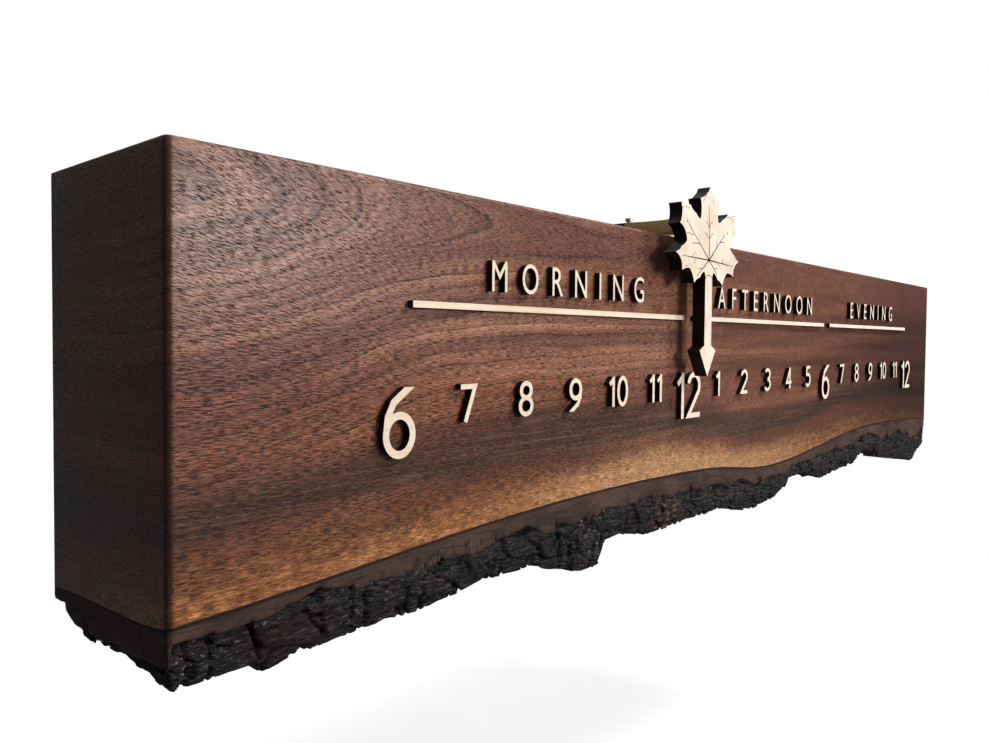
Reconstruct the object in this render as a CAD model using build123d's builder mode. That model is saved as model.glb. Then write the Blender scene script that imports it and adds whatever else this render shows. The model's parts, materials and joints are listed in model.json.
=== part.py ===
"""Linear wall clock: a live-edge walnut box, with a leaf pointer that slides along the hours.

Axes: +X along the clock, the front faces -Y, +Z is up. The wall is the plane Y = 0, and the
origin is the middle of the back board's rear face. Sizes are in millimetres.
"""

import os
from math import pi

from build123d import *

os.makedirs("parts", exist_ok=True)

# Case
case_length = 910.0
case_depth = 94.0
plank = 20.0                  # thickness of the walnut
top_height = 75.0             # top edge above the middle of the back board
board_thickness = 12.0
board_height = 130.0
rabbet = 10.0                 # how far the back board reaches into each return
block_leg = 20.0              # leg of the glued blocks inside the mitres
block_height = 120.0
board_screw_rise = 50.0       # outer screws of the board, above and below its middle
bark_band = 0.5               # share of the bark's height that is sawn flush with the wood
bark_round = 5.0              # depth over which its face then curves in to the full height

# Hanging
hanger_spacing = 400.0
hanger_height = 40.0
hanger_width = 16.0
hanger_length = 44.0
hanger_thickness = 2.0
keyhole_entry = 4.5           # radius
keyhole_slot = 2.25           # radius
keyhole_rise = 12.0
keyhole_pocket = 8.0          # depth behind the plate
pocket_margin = 1.5           # round the keyhole
hanger_screw_inset = 5.0      # from the ends of the plate

# Dial
dial_margin = 95.0            # from each end of the case to the first and the last hour
hour_count = 19
figure_thickness = 3.2
figure_drop = 83.3            # top of the figures below the top edge
small_width, small_height, small_stroke = 11.0, 17.0, 2.3
large_width, large_height, large_stroke = 17.4, 28.8, 3.2
large_every = 6
narrow_share, figure_space = 0.6, 0.16       # width of a 1, and space between two figures
bar_drop = 49.5
bar_height = 2.8
bar_gap = 14.0

# Rail and carriage
rail_size = 20.0
rail_height = 20.0            # middle of the rail above the middle of the board
rail_end_gap = 15.0
rail_corner = 1.5
rail_bore = 2.1               # radius
rail_screw_inset = 60.0       # from the ends of the rail
spacer_radius = 6.0
spacer_share = 3 / 7          # share of the spare depth that goes behind the rail
slot_mouth, slot_neck = 4.58, 3.1     # half widths
slot_neck_depth, slot_depth = 1.8, 6.1
slot_wide, slot_floor = 5.5, 2.3      # half widths inside
slot_shoulder = 2.9           # depth where the slot starts to narrow
slot_nut = (11.0, 10.0, 1.1)  # length, width and thickness of its wings
slot_nut_core = 5.0           # width of its middle
wheel_radius = 7.6
wheel_width = 8.8
wheel_sink = 1.5              # how far a rim stands in the groove
wheel_spread = 20.0           # upper wheels each side of the middle
plate_thickness = 3.0
plate_width = 60.0
plate_gap = 3.0               # between rail and plate
plate_margin = 9.0
plate_inset = 0.7             # lower edge above the lower wheel's rim
plate_corner = 6.0
tongue_width = 24.0
bolt_radius = 2.5
bolt_head, bolt_head_height = 4.75, 2.75
nut_radius, nut_thickness = 4.6, 4.7
wheel_spacer_radius = 4.0
screw_radius = 1.5            # of the small machine screws
screw_head, screw_head_height = 2.75, 2.0

# Drive
pulley_teeth = 20
belt_pitch = 2.0
belt_width = 6.0
belt_play = 0.5               # each side, between the flanges
belt_thickness = 0.9
belt_gap = 0.3
pitch_line = 0.254            # how far the belt's cords run outside the teeth
tooth_groove, groove_sink = 0.6, 0.15
drive_height = -26.0          # motor axis, from the middle of the board
motor_size = 42.0
motor_gap = 5.0               # between motor and return
motor_chamfer = 4.0
motor_hole_pitch = 31.0
motor_hole_depth = 4.5
motor_boss, boss_height = 11.0, 2.0
shaft_radius = 2.5
shaft_inside = 18.0           # length of the shaft inside the motor
sheet = 3.0                   # thickness of the two brackets
bend_inside = 1.0             # radius
shelf_gap = 1.0               # under the motor
bracket_foot = 14.0
bracket_step = 5.0            # brackets' faces stand this far ahead of the carriage plate
idler_width = 30.0
idler_slot = 7.0              # length of the slots that let the belt be tightened
idler_head = 4.5              # radius
idler_head_share = 3 / 8      # height of the head, as a share of the room behind the front
idler_shoulder = 4.0          # radius
flange = 1.0
flange_radius = 8.0
hub_gap = 1.0                 # between bracket and hub
hub_length = 7.0

# Pointer
leaf_gap = 7.1                # between front panel and leaf
leaf_thickness = 8.3
post_width = 16.0
post_depth = 12.0
arm_clearance = 4.0           # under the arm, above the top edge
arm_thickness = 8.0
tenon, tenon_gap = 4.0, 0.1
jaw = 4.4
post_toe, post_taper = 6.0, 10.0      # depth of the post's foot, and height of its taper
post_gap = 1.35               # between the post and the lower wheel's bolt
post_screw_rises = (6.0, 20.0)
post_counterbore = 6.0
shoulder_gap = 0.5            # between post and arm

# Electronics
board_length, board_width, board_sheet = 100.0, 54.0, 1.6
board_gap = 16.0              # between motor and circuit board
standoff = 6.0
module_place = (-0.26, 0.075)         # from the middle of the circuit board, as shares of its
driver_place = (0.08, 0.22)           # length and width: processor, motor driver, backup cell
cell_place = (0.34, 0.185)
button_shares = (-0.06, 0.1)          # and the two buttons, along its length
header = 8.5
drill_spare = 1.0             # how much deeper a pilot hole is than its screw
button_travel = 1.0

# Clearances
fit_gap = 0.05                # radial, screws in tapped holes and pins in bores
free_gap = 0.3                # between things that move past each other

# Places that follow from the sizes
half = case_length / 2
front = -case_depth
panel_rear = front + plank
board_front = -board_thickness
first_hour = -half + dial_margin
hour_pitch = 2 * (half - dial_margin) / (hour_count - 1)
noon = first_hour + large_every * hour_pitch
figure_top = top_height - figure_drop
rail_length = case_length - 2 * plank - 2 * rail_end_gap
pulley_length = belt_width + 2 * belt_play + 2 * flange
filled_depth = (
    board_thickness + rail_size + plate_gap + plate_thickness + bracket_step
    + hub_gap + hub_length + pulley_length + plank
)
rail_spacer = spacer_share * (case_depth - filled_depth)
rail_rear = board_front - rail_spacer
rail_middle = rail_rear - rail_size / 2
rail_front = rail_rear - rail_size
wheel_rise = rail_size / 2 + wheel_radius - wheel_sink
plate_rear = rail_front - plate_gap
plate_front = plate_rear - plate_thickness
plate_low = rail_height - wheel_rise - wheel_radius + plate_inset
plate_high = rail_height + wheel_rise + plate_margin
bracket_front = plate_front - bracket_step
motor_front = bracket_front + sheet
motor_length = board_front - motor_front
motor_low = drive_height - motor_size / 2
motor_high = drive_height + motor_size / 2
axle_x = half - plank - motor_gap - motor_size / 2
tooth_radius = pulley_teeth * belt_pitch / (2 * pi) - pitch_line
hub_rear = bracket_front - hub_gap
hub_front = hub_rear - hub_length
pulley_front = hub_front - pulley_length
belt_middle = (hub_front + pulley_front) / 2
belt_inner = tooth_radius + belt_gap
belt_outer = belt_inner + belt_thickness
shelf_low = motor_low - shelf_gap - sheet
foot_bottom = shelf_low - bracket_foot
foot_screw = foot_bottom + bracket_foot / 2
arm_bottom = top_height + arm_clearance
leaf_back = front - leaf_gap
post_front = plate_front - post_depth
jaw_rear = plate_front - sheet
screw_y = (post_front + jaw_rear) / 2

forward, rearward = (90, 0, 0), (-90, 0, 0)      # turns that point a screw's head
downward = (180, 0, 0)
to_top = (Align.CENTER, Align.CENTER, Align.MIN)
to_bottom = (Align.CENTER, Align.CENTER, Align.MAX)


def save(builder, label):
    """Name a finished piece and write it."""
    builder.part.label = label
    export_step(builder.part, f"parts/{label}.step")


def places(points, turn):
    """Locations at the points, each turned the same way."""
    return Locations(*[Location(point, turn) for point in points])


def pan_screw(radius, length, head_radius, head_height):
    """Screw whose shank runs down from the place, with its head above."""
    Cylinder(radius, length, align=to_bottom)
    Cylinder(head_radius, head_height, align=to_top)


def flat_screw(radius, length, head_radius):
    """Countersunk screw, its head flush with the place."""
    Cylinder(radius, length, align=to_bottom)
    Cone(radius, head_radius, head_radius - radius, align=to_bottom)


def tube(outer, inner, length):
    """Sleeve that runs down from the place."""
    Cylinder(outer, length, align=to_bottom)
    Cylinder(inner, length, align=to_bottom, mode=Mode.SUBTRACT)


# Live edge. Points along the front are (share of the half length, drop below the top edge),
# and points along a return are (distance behind the front, drop below the top edge).
front_wood = [
    (-1, 157), (-0.86, 153.5), (-0.75, 150), (-0.63, 147), (-0.25, 146.5), (-0.14, 149.5),
    (-0.04, 155), (0.09, 156.5), (0.24, 152), (0.44, 145), (0.71, 144.5), (1, 151),
]
front_bark_edge = [
    (-1, 178), (-0.98, 180), (-0.93, 179.5), (-0.92, 183.5), (-0.88, 181.5), (-0.82, 180),
    (-0.75, 182), (-0.69, 178), (-0.665, 176), (-0.58, 179), (-0.49, 190), (-0.46, 190),
    (-0.445, 176), (-0.41, 175), (-0.34, 181), (-0.14, 180.5), (-0.02, 188.5), (0.08, 186),
    (0.115, 180), (0.12, 173.5), (0.2, 173), (0.295, 183.5), (0.48, 179), (0.525, 171.5),
    (0.57, 170.5), (0.65, 181.5), (0.92, 198), (0.955, 190), (1, 188),
]
left_wood = [(0, 157), (16, 159.3), (31, 160), (69, 161.3), (case_depth, 163)]
left_bark_edge = [
    (0, 178), (5, 180.5), (12, 180.5), (18, 179), (27, 179.7), (34, 177.4), (43, 178.5),
    (47, 180.5), (67, 181), (75, 180.6), (79, 177.7), (82, 175.9), (86, 170.5), (case_depth, 170.3),
]
right_wood = [(0, 151), (24, 152.5), (52, 152), (case_depth, 155)]
right_bark_edge = [
    (0, 188), (12, 186), (26, 189), (34, 184), (50, 181), (58, 183.5), (70, 177),
    (case_depth, 175),
]


def front_points(edge):
    """Places on the front, in its own plane."""
    return [(share * half, top_height - drop) for share, drop in edge]


def side_points(edge):
    """Places on a return, in its own plane."""
    return [(front + back, top_height - drop) for back, drop in edge]


def band_edge(wood, bark):
    """Lower edge of the sawn band: part of the way from the wood down to the bark's edge."""
    edge = []
    for place, height in bark:
        for (start, start_height), (end, end_height) in zip(wood, wood[1:]):
            if start <= place <= end:
                along = (place - start) / (end - start)
                wood_height = start_height + along * (end_height - start_height)
        edge.append((place, wood_height + bark_band * (height - wood_height)))
    return edge


def wood_outline(edge):
    """Face from the live edge up to the top edge."""
    with BuildLine() as outline:
        Spline(*edge)
        Polyline(edge[-1], (edge[-1][0], top_height), (edge[0][0], top_height), edge[0])
    make_face(outline.line)


def bark_outline(wood, bark):
    """Face between the wood's live edge and the rough lower edge of the bark."""
    with BuildLine() as outline:
        Spline(*wood)
        Polyline(wood[-1], *reversed(bark), wood[0])
    make_face(outline.line)


def mitre_plan(points, reach=400.0):
    """Keep only what lies inside a plan outline, so that the ends meet at 45 degrees."""
    with BuildSketch(Plane.XY.offset(-reach / 2)) as plan:
        Polygon(*points, align=None)
    extrude(plan.sketch, amount=reach, mode=Mode.INTERSECT)


front_plan = [
    (-half, front), (half, front), (half - plank, panel_rear), (-half + plank, panel_rear),
]
left_plan = [(-half, front), (-half + plank, panel_rear), (-half + plank, 0), (-half, 0)]
right_plan = [(half, front), (half, 0), (half - plank, 0), (half - plank, panel_rear)]

# Front panel, with the live edge below and mitred ends
with BuildPart() as front_panel:
    with BuildSketch(Plane.XZ.offset(-panel_rear)):
        wood_outline(front_points(front_wood))
    extrude(amount=plank)
    mitre_plan(front_plan)
save(front_panel, "front_panel")

# Returns, cut from the same plank, each with a rabbet for the back board
with BuildPart() as left_return:
    with BuildSketch(Plane.YZ.offset(-half)):
        wood_outline(side_points(left_wood))
    extrude(amount=plank)
    mitre_plan(left_plan)
    with Locations((-half + plank - rabbet / 2, -board_thickness / 2, 0)):
        Box(rabbet, board_thickness, board_height, mode=Mode.SUBTRACT)
save(left_return, "left_return")

with BuildPart() as right_return:
    with BuildSketch(Plane.YZ.offset(half - plank)):
        wood_outline(side_points(right_wood))
    extrude(amount=plank)
    mitre_plan(right_plan)
    with Locations((half - plank + rabbet / 2, -board_thickness / 2, 0)):
        Box(rabbet, board_thickness, board_height, mode=Mode.SUBTRACT)
save(right_return, "right_return")


def loft_bark(outer, inward, wood, bark):
    """Bark on a live edge: a sawn band in the outer plane, a face that curves in, and the rest."""
    with BuildSketch(outer) as band:
        bark_outline(wood, band_edge(wood, bark))
    with BuildSketch(outer.offset(inward * bark_round)) as body:
        bark_outline(wood, bark)
    loft([band.sketch, body.sketch], ruled=True)
    extrude(body.sketch, amount=inward * (plank - bark_round))


with BuildPart() as front_bark:
    loft_bark(
        Plane.XZ.offset(case_depth), -1, front_points(front_wood), front_points(front_bark_edge),
    )
    mitre_plan(front_plan)
save(front_bark, "front_bark")

with BuildPart() as left_bark:
    loft_bark(
        Plane.YZ.offset(-half), 1, side_points(left_wood), side_points(left_bark_edge),
    )
    mitre_plan(left_plan)
save(left_bark, "left_bark")

with BuildPart() as right_bark:
    loft_bark(
        Plane.YZ.offset(half), -1, side_points(right_wood), side_points(right_bark_edge),
    )
    mitre_plan(right_plan)
save(right_bark, "right_bark")

# Glued blocks behind the mitres
with BuildPart() as corner_blocks:
    with BuildSketch(Plane.XY.offset(-block_height / 2)):
        for side in (-1, 1):
            corner = (side * (half - plank), panel_rear)
            with BuildLine():
                Polyline(
                    corner, (corner[0] - side * block_leg, corner[1]),
                    (corner[0], corner[1] + block_leg), close=True,
                )
            make_face()
    extrude(amount=block_height)
save(corner_blocks, "corner_blocks")

# Fasteners of the board, used again for the holes that take them
board_edge = half - plank + rabbet / 2
board_screw_points = [
    (side * board_edge, 0, step * board_screw_rise) for side in (-1, 1) for step in (-1, 0, 1)
]
board_screw_radius, board_screw_head = 1.75, 3.5
hanger_points = [(side * hanger_spacing / 2, 0, hanger_height) for side in (-1, 1)]
hanger_screw_rise = hanger_length / 2 - hanger_screw_inset
hanger_screw_radius, hanger_screw_head, hanger_screw_length = 1.55, 3.3, 9.0
hanger_screw_points = [
    (x, 0, z + side * hanger_screw_rise) for x, _, z in hanger_points for side in (-1, 1)
]
rail_screw_points = [
    (step * (rail_length / 2 - rail_screw_inset), 0, rail_height) for step in (-1, 0, 1)
]
rail_screw_length = board_thickness + rail_spacer + slot_depth - free_gap
foot_screw_inset = 7.0
foot_points = [
    (-axle_x + side * (motor_size / 2 - foot_screw_inset), board_front - sheet, foot_screw)
    for side in (-1, 1)
] + [
    (axle_x + side * (idler_width / 2 - foot_screw_inset), board_front - sheet, foot_screw)
    for side in (-1, 1)
]
foot_screw_radius, foot_screw_length = 1.75, 11.0
foot_screw_head, foot_screw_head_height = 3.5, 2.4
circuit_left = -axle_x + motor_size / 2 + board_gap
circuit_x = circuit_left + board_length / 2
circuit_rise = 3.0            # circuit board's lower edge above the brackets' feet
circuit_z = foot_bottom + circuit_rise + board_width / 2
circuit_back = board_front - standoff
circuit_face = circuit_back - board_sheet
standoff_inset = 4.0
standoff_points = [
    (
        circuit_x + i * (board_length / 2 - standoff_inset), board_front,
        circuit_z + k * (board_width / 2 - standoff_inset),
    )
    for i in (-1, 1) for k in (-1, 1)
]
stud_radius, stud_length = 1.5, 8.0
standoff_radius = 3.0

# Back board of ply, with every pocket and hole that it needs
with BuildPart() as back_board:
    with Locations((0, -board_thickness / 2, 0)):
        Box(2 * (half - plank + rabbet), board_thickness, board_height)
    with places(hanger_points, rearward):
        Box(hanger_width, hanger_length, hanger_thickness, align=to_bottom, mode=Mode.SUBTRACT)
    with BuildSketch(Plane.XZ.offset(hanger_thickness)):
        with Locations(*[(x, z) for x, _, z in hanger_points]):
            SlotOverall(
                keyhole_rise + 2 * (keyhole_entry + pocket_margin),
                2 * (keyhole_entry + pocket_margin), rotation=90,
            )
    extrude(amount=keyhole_pocket, mode=Mode.SUBTRACT)
    with places(hanger_screw_points, rearward):
        Hole(hanger_screw_radius + fit_gap, depth=hanger_screw_length + drill_spare)
    with places(board_screw_points, rearward):
        CounterSinkHole(
            board_screw_radius + fit_gap, board_screw_head, counter_sink_angle=90,
            depth=board_thickness,
        )
    with places(rail_screw_points, rearward):
        CounterSinkHole(
            bolt_radius + fit_gap, 2 * bolt_radius, counter_sink_angle=90, depth=board_thickness,
        )
    with places([(x, board_front, z) for x, _, z in foot_points], forward):
        Hole(foot_screw_radius + fit_gap, depth=foot_screw_length - sheet + fit_gap)
    with places(standoff_points, forward):
        Hole(stud_radius + fit_gap, depth=stud_length + fit_gap)
save(back_board, "back_board")

with BuildPart() as back_board_screws:
    with places(board_screw_points, rearward):
        flat_screw(board_screw_radius, board_thickness, board_screw_head)
save(back_board_screws, "back_board_screws")

# Keyhole plates, let into the rear of the board
with BuildPart() as hanger_plates:
    with places(hanger_points, rearward):
        Box(hanger_width, hanger_length, hanger_thickness, align=to_bottom)
    with BuildSketch(Plane.XZ):
        with Locations(*[(x, z - keyhole_rise / 2) for x, _, z in hanger_points]):
            Circle(keyhole_entry)
        with Locations(*[(x, z) for x, _, z in hanger_points]):
            SlotCenterToCenter(keyhole_rise, 2 * keyhole_slot, rotation=90)
    extrude(amount=hanger_thickness, mode=Mode.SUBTRACT)
    with places(hanger_screw_points, rearward):
        CounterSinkHole(
            hanger_screw_radius + fit_gap, hanger_screw_head, counter_sink_angle=90,
            depth=hanger_thickness,
        )
save(hanger_plates, "hanger_plates")

with BuildPart() as hanger_screws:
    with places(hanger_screw_points, rearward):
        flat_screw(hanger_screw_radius, hanger_screw_length, hanger_screw_head)
save(hanger_screws, "hanger_screws")


# Dial figures: each one is a few strokes, traced along lines and arcs in a box one wide and
# one high
def trace_figure(figure, left, base, wide, high, stroke):
    """Trace one figure whose stroke centres fill the box given."""

    def at(u, v):
        return left + u * wide, base + v * high

    def arc(u, v, half_wide, half_high, start, turn):
        with BuildLine() as path:
            EllipticalCenterArc(
                at(u, v), half_wide * wide, half_high * high, start_angle=start, arc_size=turn
            )
        trace(path.line, line_width=stroke)

    def bars(*points):
        with BuildLine() as path:
            Polyline(*[at(u, v) for u, v in points])
        trace(path.line, line_width=stroke)

    def cut_flat(v, side):
        middle, edge = at(0.5, v)
        with Locations((middle, edge + side * stroke * 5 / 2)):
            Rectangle(2 * wide, 4 * stroke, mode=Mode.SUBTRACT)

    if figure == "0":
        arc(0.5, 0.5, 0.5, 0.5, 0, 360)
    elif figure == "1":
        bars((0.82, -0.06), (0.82, 1.06))
        bars((-0.05, 0.78), (0.82, 0.97))
    elif figure == "2":
        arc(0.5, 0.72, 0.5, 0.28, 165, -195)
        bars((0.933, 0.58), (0.02, 0), (1.08, 0))
    elif figure == "3":
        arc(0.45, 0.76, 0.46, 0.24, 150, -240)
        arc(0.45, 0.26, 0.54, 0.26, 90, -240)
    elif figure == "4":
        bars((0.72, -0.06), (0.72, 1.04))
        bars((0.72, 1), (0, 0.27), (1.08, 0.27))
    elif figure == "5":
        bars((0.92, 1), (0.12, 1), (0.08, 0.55))
        arc(0.42, 0.31, 0.55, 0.31, 128, -270)
    elif figure == "6":
        arc(0.5, 0.31, 0.5, 0.31, 0, 360)
        bars((0, 0.31), (0.06, 0.6), (0.28, 0.83), (0.72, 1), (1.1, 1.15))
        cut_flat(1, 1)
    elif figure == "7":
        bars((-0.05, 1), (1, 1), (0.3, -0.06))
    elif figure == "8":
        arc(0.5, 0.765, 0.42, 0.235, 0, 360)
        arc(0.5, 0.265, 0.5, 0.265, 0, 360)
    elif figure == "9":
        arc(0.5, 0.69, 0.5, 0.31, 0, 360)
        bars((1, 0.69), (0.94, 0.4), (0.72, 0.17), (0.28, 0), (-0.1, -0.15))
        cut_flat(0, -1)


def trace_number(number, middle, top, width, height, stroke):
    """Trace a number of one or two figures, centred on the middle."""
    widths = [width * narrow_share if figure == "1" else width for figure in number]
    space = width * figure_space
    left = middle - (sum(widths) + space * (len(number) - 1)) / 2
    for figure, wide in zip(number, widths):
        trace_figure(
            figure, left + stroke / 2, top - height + stroke / 2,
            wide - stroke, height - stroke, stroke,
        )
        left += wide + space


def trace_hours(hours):
    """Trace the numbers of some hours, counted from the first on the dial."""
    for hour in hours:
        number = str((hour + 5) % 12 + 1)
        if hour % large_every == 0:
            size = (large_width, large_height, large_stroke)
        else:
            size = (small_width, small_height, small_stroke)
        trace_number(number, first_hour + hour * hour_pitch, figure_top, *size)


with BuildPart() as numerals_morning:
    with BuildSketch(Plane.XZ.offset(case_depth)):
        trace_hours(range(0, large_every))
    extrude(amount=figure_thickness)
save(numerals_morning, "numerals_morning")

with BuildPart() as numerals_afternoon:
    with BuildSketch(Plane.XZ.offset(case_depth)):
        trace_hours(range(large_every, 2 * large_every))
    extrude(amount=figure_thickness)
save(numerals_afternoon, "numerals_afternoon")

with BuildPart() as numerals_evening:
    with BuildSketch(Plane.XZ.offset(case_depth)):
        trace_hours(range(2 * large_every, hour_count))
    extrude(amount=figure_thickness)
save(numerals_evening, "numerals_evening")

with BuildPart() as scale_bars:
    with BuildSketch(Plane.XZ.offset(case_depth)):
        for part_of_day in range(3):
            middle = first_hour + (part_of_day + 0.5) * large_every * hour_pitch
            with Locations((middle, top_height - bar_drop)):
                Rectangle(large_every * hour_pitch - bar_gap, bar_height)
    extrude(amount=figure_thickness)
save(scale_bars, "scale_bars")

# Slotted rail, one groove in each face
with BuildPart() as rail:
    with BuildSketch(Plane.YZ.offset(-rail_length / 2)):
        with Locations((rail_middle, rail_height)):
            RectangleRounded(rail_size, rail_size, rail_corner)
            Circle(rail_bore, mode=Mode.SUBTRACT)
        edge = rail_size / 2
        with Locations((rail_middle, rail_height)):
            with PolarLocations(0, 4):
                Polygon(
                    (edge, -slot_mouth), (edge, slot_mouth),
                    (edge - slot_neck_depth, slot_neck), (edge - slot_neck_depth, slot_wide),
                    (edge - slot_shoulder, slot_wide), (edge - slot_depth, slot_floor),
                    (edge - slot_depth, -slot_floor), (edge - slot_shoulder, -slot_wide),
                    (edge - slot_neck_depth, -slot_wide), (edge - slot_neck_depth, -slot_neck),
                    align=None, mode=Mode.SUBTRACT,
                )
    extrude(amount=rail_length)
save(rail, "rail")

with BuildPart() as rail_spacers:
    with places([(x, board_front, z) for x, _, z in rail_screw_points], rearward):
        tube(spacer_radius, bolt_radius + fit_gap, rail_spacer)
save(rail_spacers, "rail_spacers")

with BuildPart() as rail_screws:
    with places(rail_screw_points, rearward):
        flat_screw(bolt_radius, rail_screw_length, 2 * bolt_radius)
save(rail_screws, "rail_screws")

nut_face = rail_rear - slot_neck_depth
with BuildPart() as rail_nuts:
    with places([(x, nut_face, z) for x, _, z in rail_screw_points], rearward):
        Box(*slot_nut, align=to_bottom)
        Box(slot_nut[0], slot_nut_core, slot_depth - slot_neck_depth - free_gap, align=to_bottom)
        Cylinder(bolt_radius + fit_gap, slot_depth, align=to_bottom, mode=Mode.SUBTRACT)
save(rail_nuts, "rail_nuts")


def bracket_profile(middle, wide):
    """Bent sheet: a face in front of the motor, a shelf under it and a foot on the board."""
    centre_line = [
        (bracket_front + sheet / 2, motor_high), (bracket_front + sheet / 2, shelf_low + sheet / 2),
        (board_front - sheet / 2, shelf_low + sheet / 2), (board_front - sheet / 2, foot_bottom),
    ]
    with BuildSketch(Plane.YZ.offset(middle - wide / 2)) as profile:
        with BuildLine() as path:
            FilletPolyline(*centre_line, radius=bend_inside + sheet / 2)
        trace(path.line, line_width=sheet)
    extrude(profile.sketch, amount=wide)


# Switch, on an ear of the motor bracket beside the rail's left end
switch_gap = 6.5              # between the switch and the plate at the first hour
switch_drop = 12.0            # switch's lower end below the middle of the rail
switch_size = (10.0, 6.4, 20.0)
switch_hole_pitch, switch_hole_inset = 9.5, 3.0
switch_screw_radius, switch_screw_head, switch_screw_head_height = 1.0, 1.9, 1.3
ear_margin = 1.0
switch_right = first_hour - plate_width / 2 - switch_gap
switch_low = rail_height - switch_drop
switch_x = switch_right - switch_size[0] / 2
ear_high = switch_low + switch_size[2] + ear_margin
switch_screw_points = [
    (
        switch_right - switch_size[0] + switch_hole_inset, bracket_front,
        switch_low + (switch_size[2] + side * switch_hole_pitch) / 2,
    )
    for side in (-1, 1)
]
motor_screw_points = [
    (
        -axle_x + i * motor_hole_pitch / 2, bracket_front,
        drive_height + k * motor_hole_pitch / 2,
    )
    for i in (-1, 1) for k in (-1, 1)
]

with BuildPart() as motor_bracket:
    bracket_profile(-axle_x, motor_size)
    with Locations((switch_x, motor_front - sheet / 2, (motor_high + ear_high) / 2)):
        Box(switch_size[0] + ear_margin, sheet, ear_high - motor_high)
    with places([(-axle_x, bracket_front, drive_height)], forward):
        Hole(motor_boss + fit_gap, depth=sheet)
    with places(motor_screw_points, forward):
        Hole(screw_radius + fit_gap, depth=sheet)
    with places(switch_screw_points, forward):
        Hole(switch_screw_radius + fit_gap, depth=sheet)
    with places(foot_points[:2], forward):
        Hole(foot_screw_radius + fit_gap, depth=sheet)
save(motor_bracket, "motor_bracket")

with BuildPart() as stepper_motor:
    with BuildSketch(Plane.XZ.offset(-board_front)) as stepper_motor_outline:
        with Locations((-axle_x, drive_height)):
            Rectangle(motor_size, motor_size)
        chamfer(stepper_motor_outline.vertices(), length=motor_chamfer)
    extrude(amount=motor_length)
    with places([(-axle_x, motor_front, drive_height)], forward):
        Cylinder(motor_boss, boss_height, align=to_top)
    with places([(-axle_x, motor_front - boss_height, drive_height)], forward):
        Hole(shaft_radius + fit_gap, depth=boss_height + shaft_inside + drill_spare)
    with places([(x, motor_front, z) for x, _, z in motor_screw_points], forward):
        Hole(screw_radius + fit_gap, depth=motor_hole_depth)
save(stepper_motor, "stepper_motor")

with BuildPart() as motor_screws:
    with places(motor_screw_points, forward):
        pan_screw(
            screw_radius, sheet + motor_hole_depth - fit_gap, screw_head, screw_head_height,
        )
save(motor_screws, "motor_screws")

with BuildPart() as bracket_screws:
    with places(foot_points, forward):
        pan_screw(
            foot_screw_radius, foot_screw_length, foot_screw_head, foot_screw_head_height,
        )
save(bracket_screws, "bracket_screws")


def pulley_body(middle, with_hub):
    """Toothed belt pulley between two flanges, about an axis that points forward."""
    if with_hub:
        with places([(middle, hub_rear, drive_height)], forward):
            Cylinder(flange_radius, hub_length, align=to_top)
    with places([(middle, hub_front, drive_height)], forward):
        Cylinder(flange_radius, flange, align=to_top)
    with places([(middle, pulley_front, drive_height)], forward):
        Cylinder(flange_radius, flange, align=to_bottom)
    with BuildSketch(Plane.XZ.offset(-hub_front + flange)) as teeth:
        with Locations((middle, drive_height)):
            Circle(tooth_radius)
            with PolarLocations(tooth_radius - groove_sink, pulley_teeth):
                Circle(tooth_groove, mode=Mode.SUBTRACT)
    extrude(teeth.sketch, amount=pulley_length - 2 * flange)


with BuildPart() as drive_pulley:
    pulley_body(-axle_x, with_hub=True)
    with places([(-axle_x, pulley_front, drive_height)], forward):
        Hole(shaft_radius + fit_gap, depth=pulley_length + hub_length)
    with Locations((-axle_x, hub_front + hub_length / 2, drive_height + flange_radius)):
        Hole(screw_radius + fit_gap, depth=flange_radius)
save(drive_pulley, "drive_pulley")

with BuildPart() as motor_shaft:
    with places([(-axle_x, pulley_front, drive_height)], forward):
        Cylinder(shaft_radius, motor_front - pulley_front + shaft_inside, align=to_bottom)
save(motor_shaft, "motor_shaft")

with BuildPart() as pulley_screw:
    with Locations((-axle_x, hub_front + hub_length / 2, drive_height + flange_radius)):
        Cylinder(screw_radius, flange_radius - shaft_radius - fit_gap, align=to_bottom)
save(pulley_screw, "pulley_screw")

# Idler at the other end, on a shoulder bolt through a bracket that slides to tighten the belt
with BuildPart() as idler_bracket:
    bracket_profile(axle_x, idler_width)
    with places([(axle_x, bracket_front, drive_height)], forward):
        Hole(shaft_radius + fit_gap, depth=sheet)
    with BuildSketch(Plane.XZ.offset(-board_front)):
        with Locations(*[(x, z) for x, _, z in foot_points[2:]]):
            SlotOverall(idler_slot, 2 * (foot_screw_radius + fit_gap))
    extrude(amount=sheet, mode=Mode.SUBTRACT)
save(idler_bracket, "idler_bracket")

with BuildPart() as idler_pulley:
    pulley_body(axle_x, with_hub=False)
    with places([(axle_x, pulley_front, drive_height)], forward):
        Hole(shaft_radius + fit_gap, depth=pulley_length)
save(idler_pulley, "idler_pulley")

with BuildPart() as idler_axle:
    with places([(axle_x, pulley_front - free_gap, drive_height)], forward):
        Cylinder(idler_head, idler_head_share * (pulley_front - panel_rear), align=to_top)
        Cylinder(
            shaft_radius, motor_front + nut_thickness - pulley_front + free_gap, align=to_bottom,
        )
    with places([(axle_x, hub_front + free_gap, drive_height)], forward):
        Cylinder(idler_shoulder, bracket_front - hub_front - free_gap, align=to_bottom)
save(idler_axle, "idler_axle")

with BuildPart() as idler_nut:
    with BuildSketch(Plane.XZ.offset(-motor_front - nut_thickness)):
        with Locations((axle_x, drive_height)):
            RegularPolygon(nut_radius, 6)
            Circle(shaft_radius + fit_gap, mode=Mode.SUBTRACT)
    extrude(amount=nut_thickness)
save(idler_nut, "idler_nut")

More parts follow.
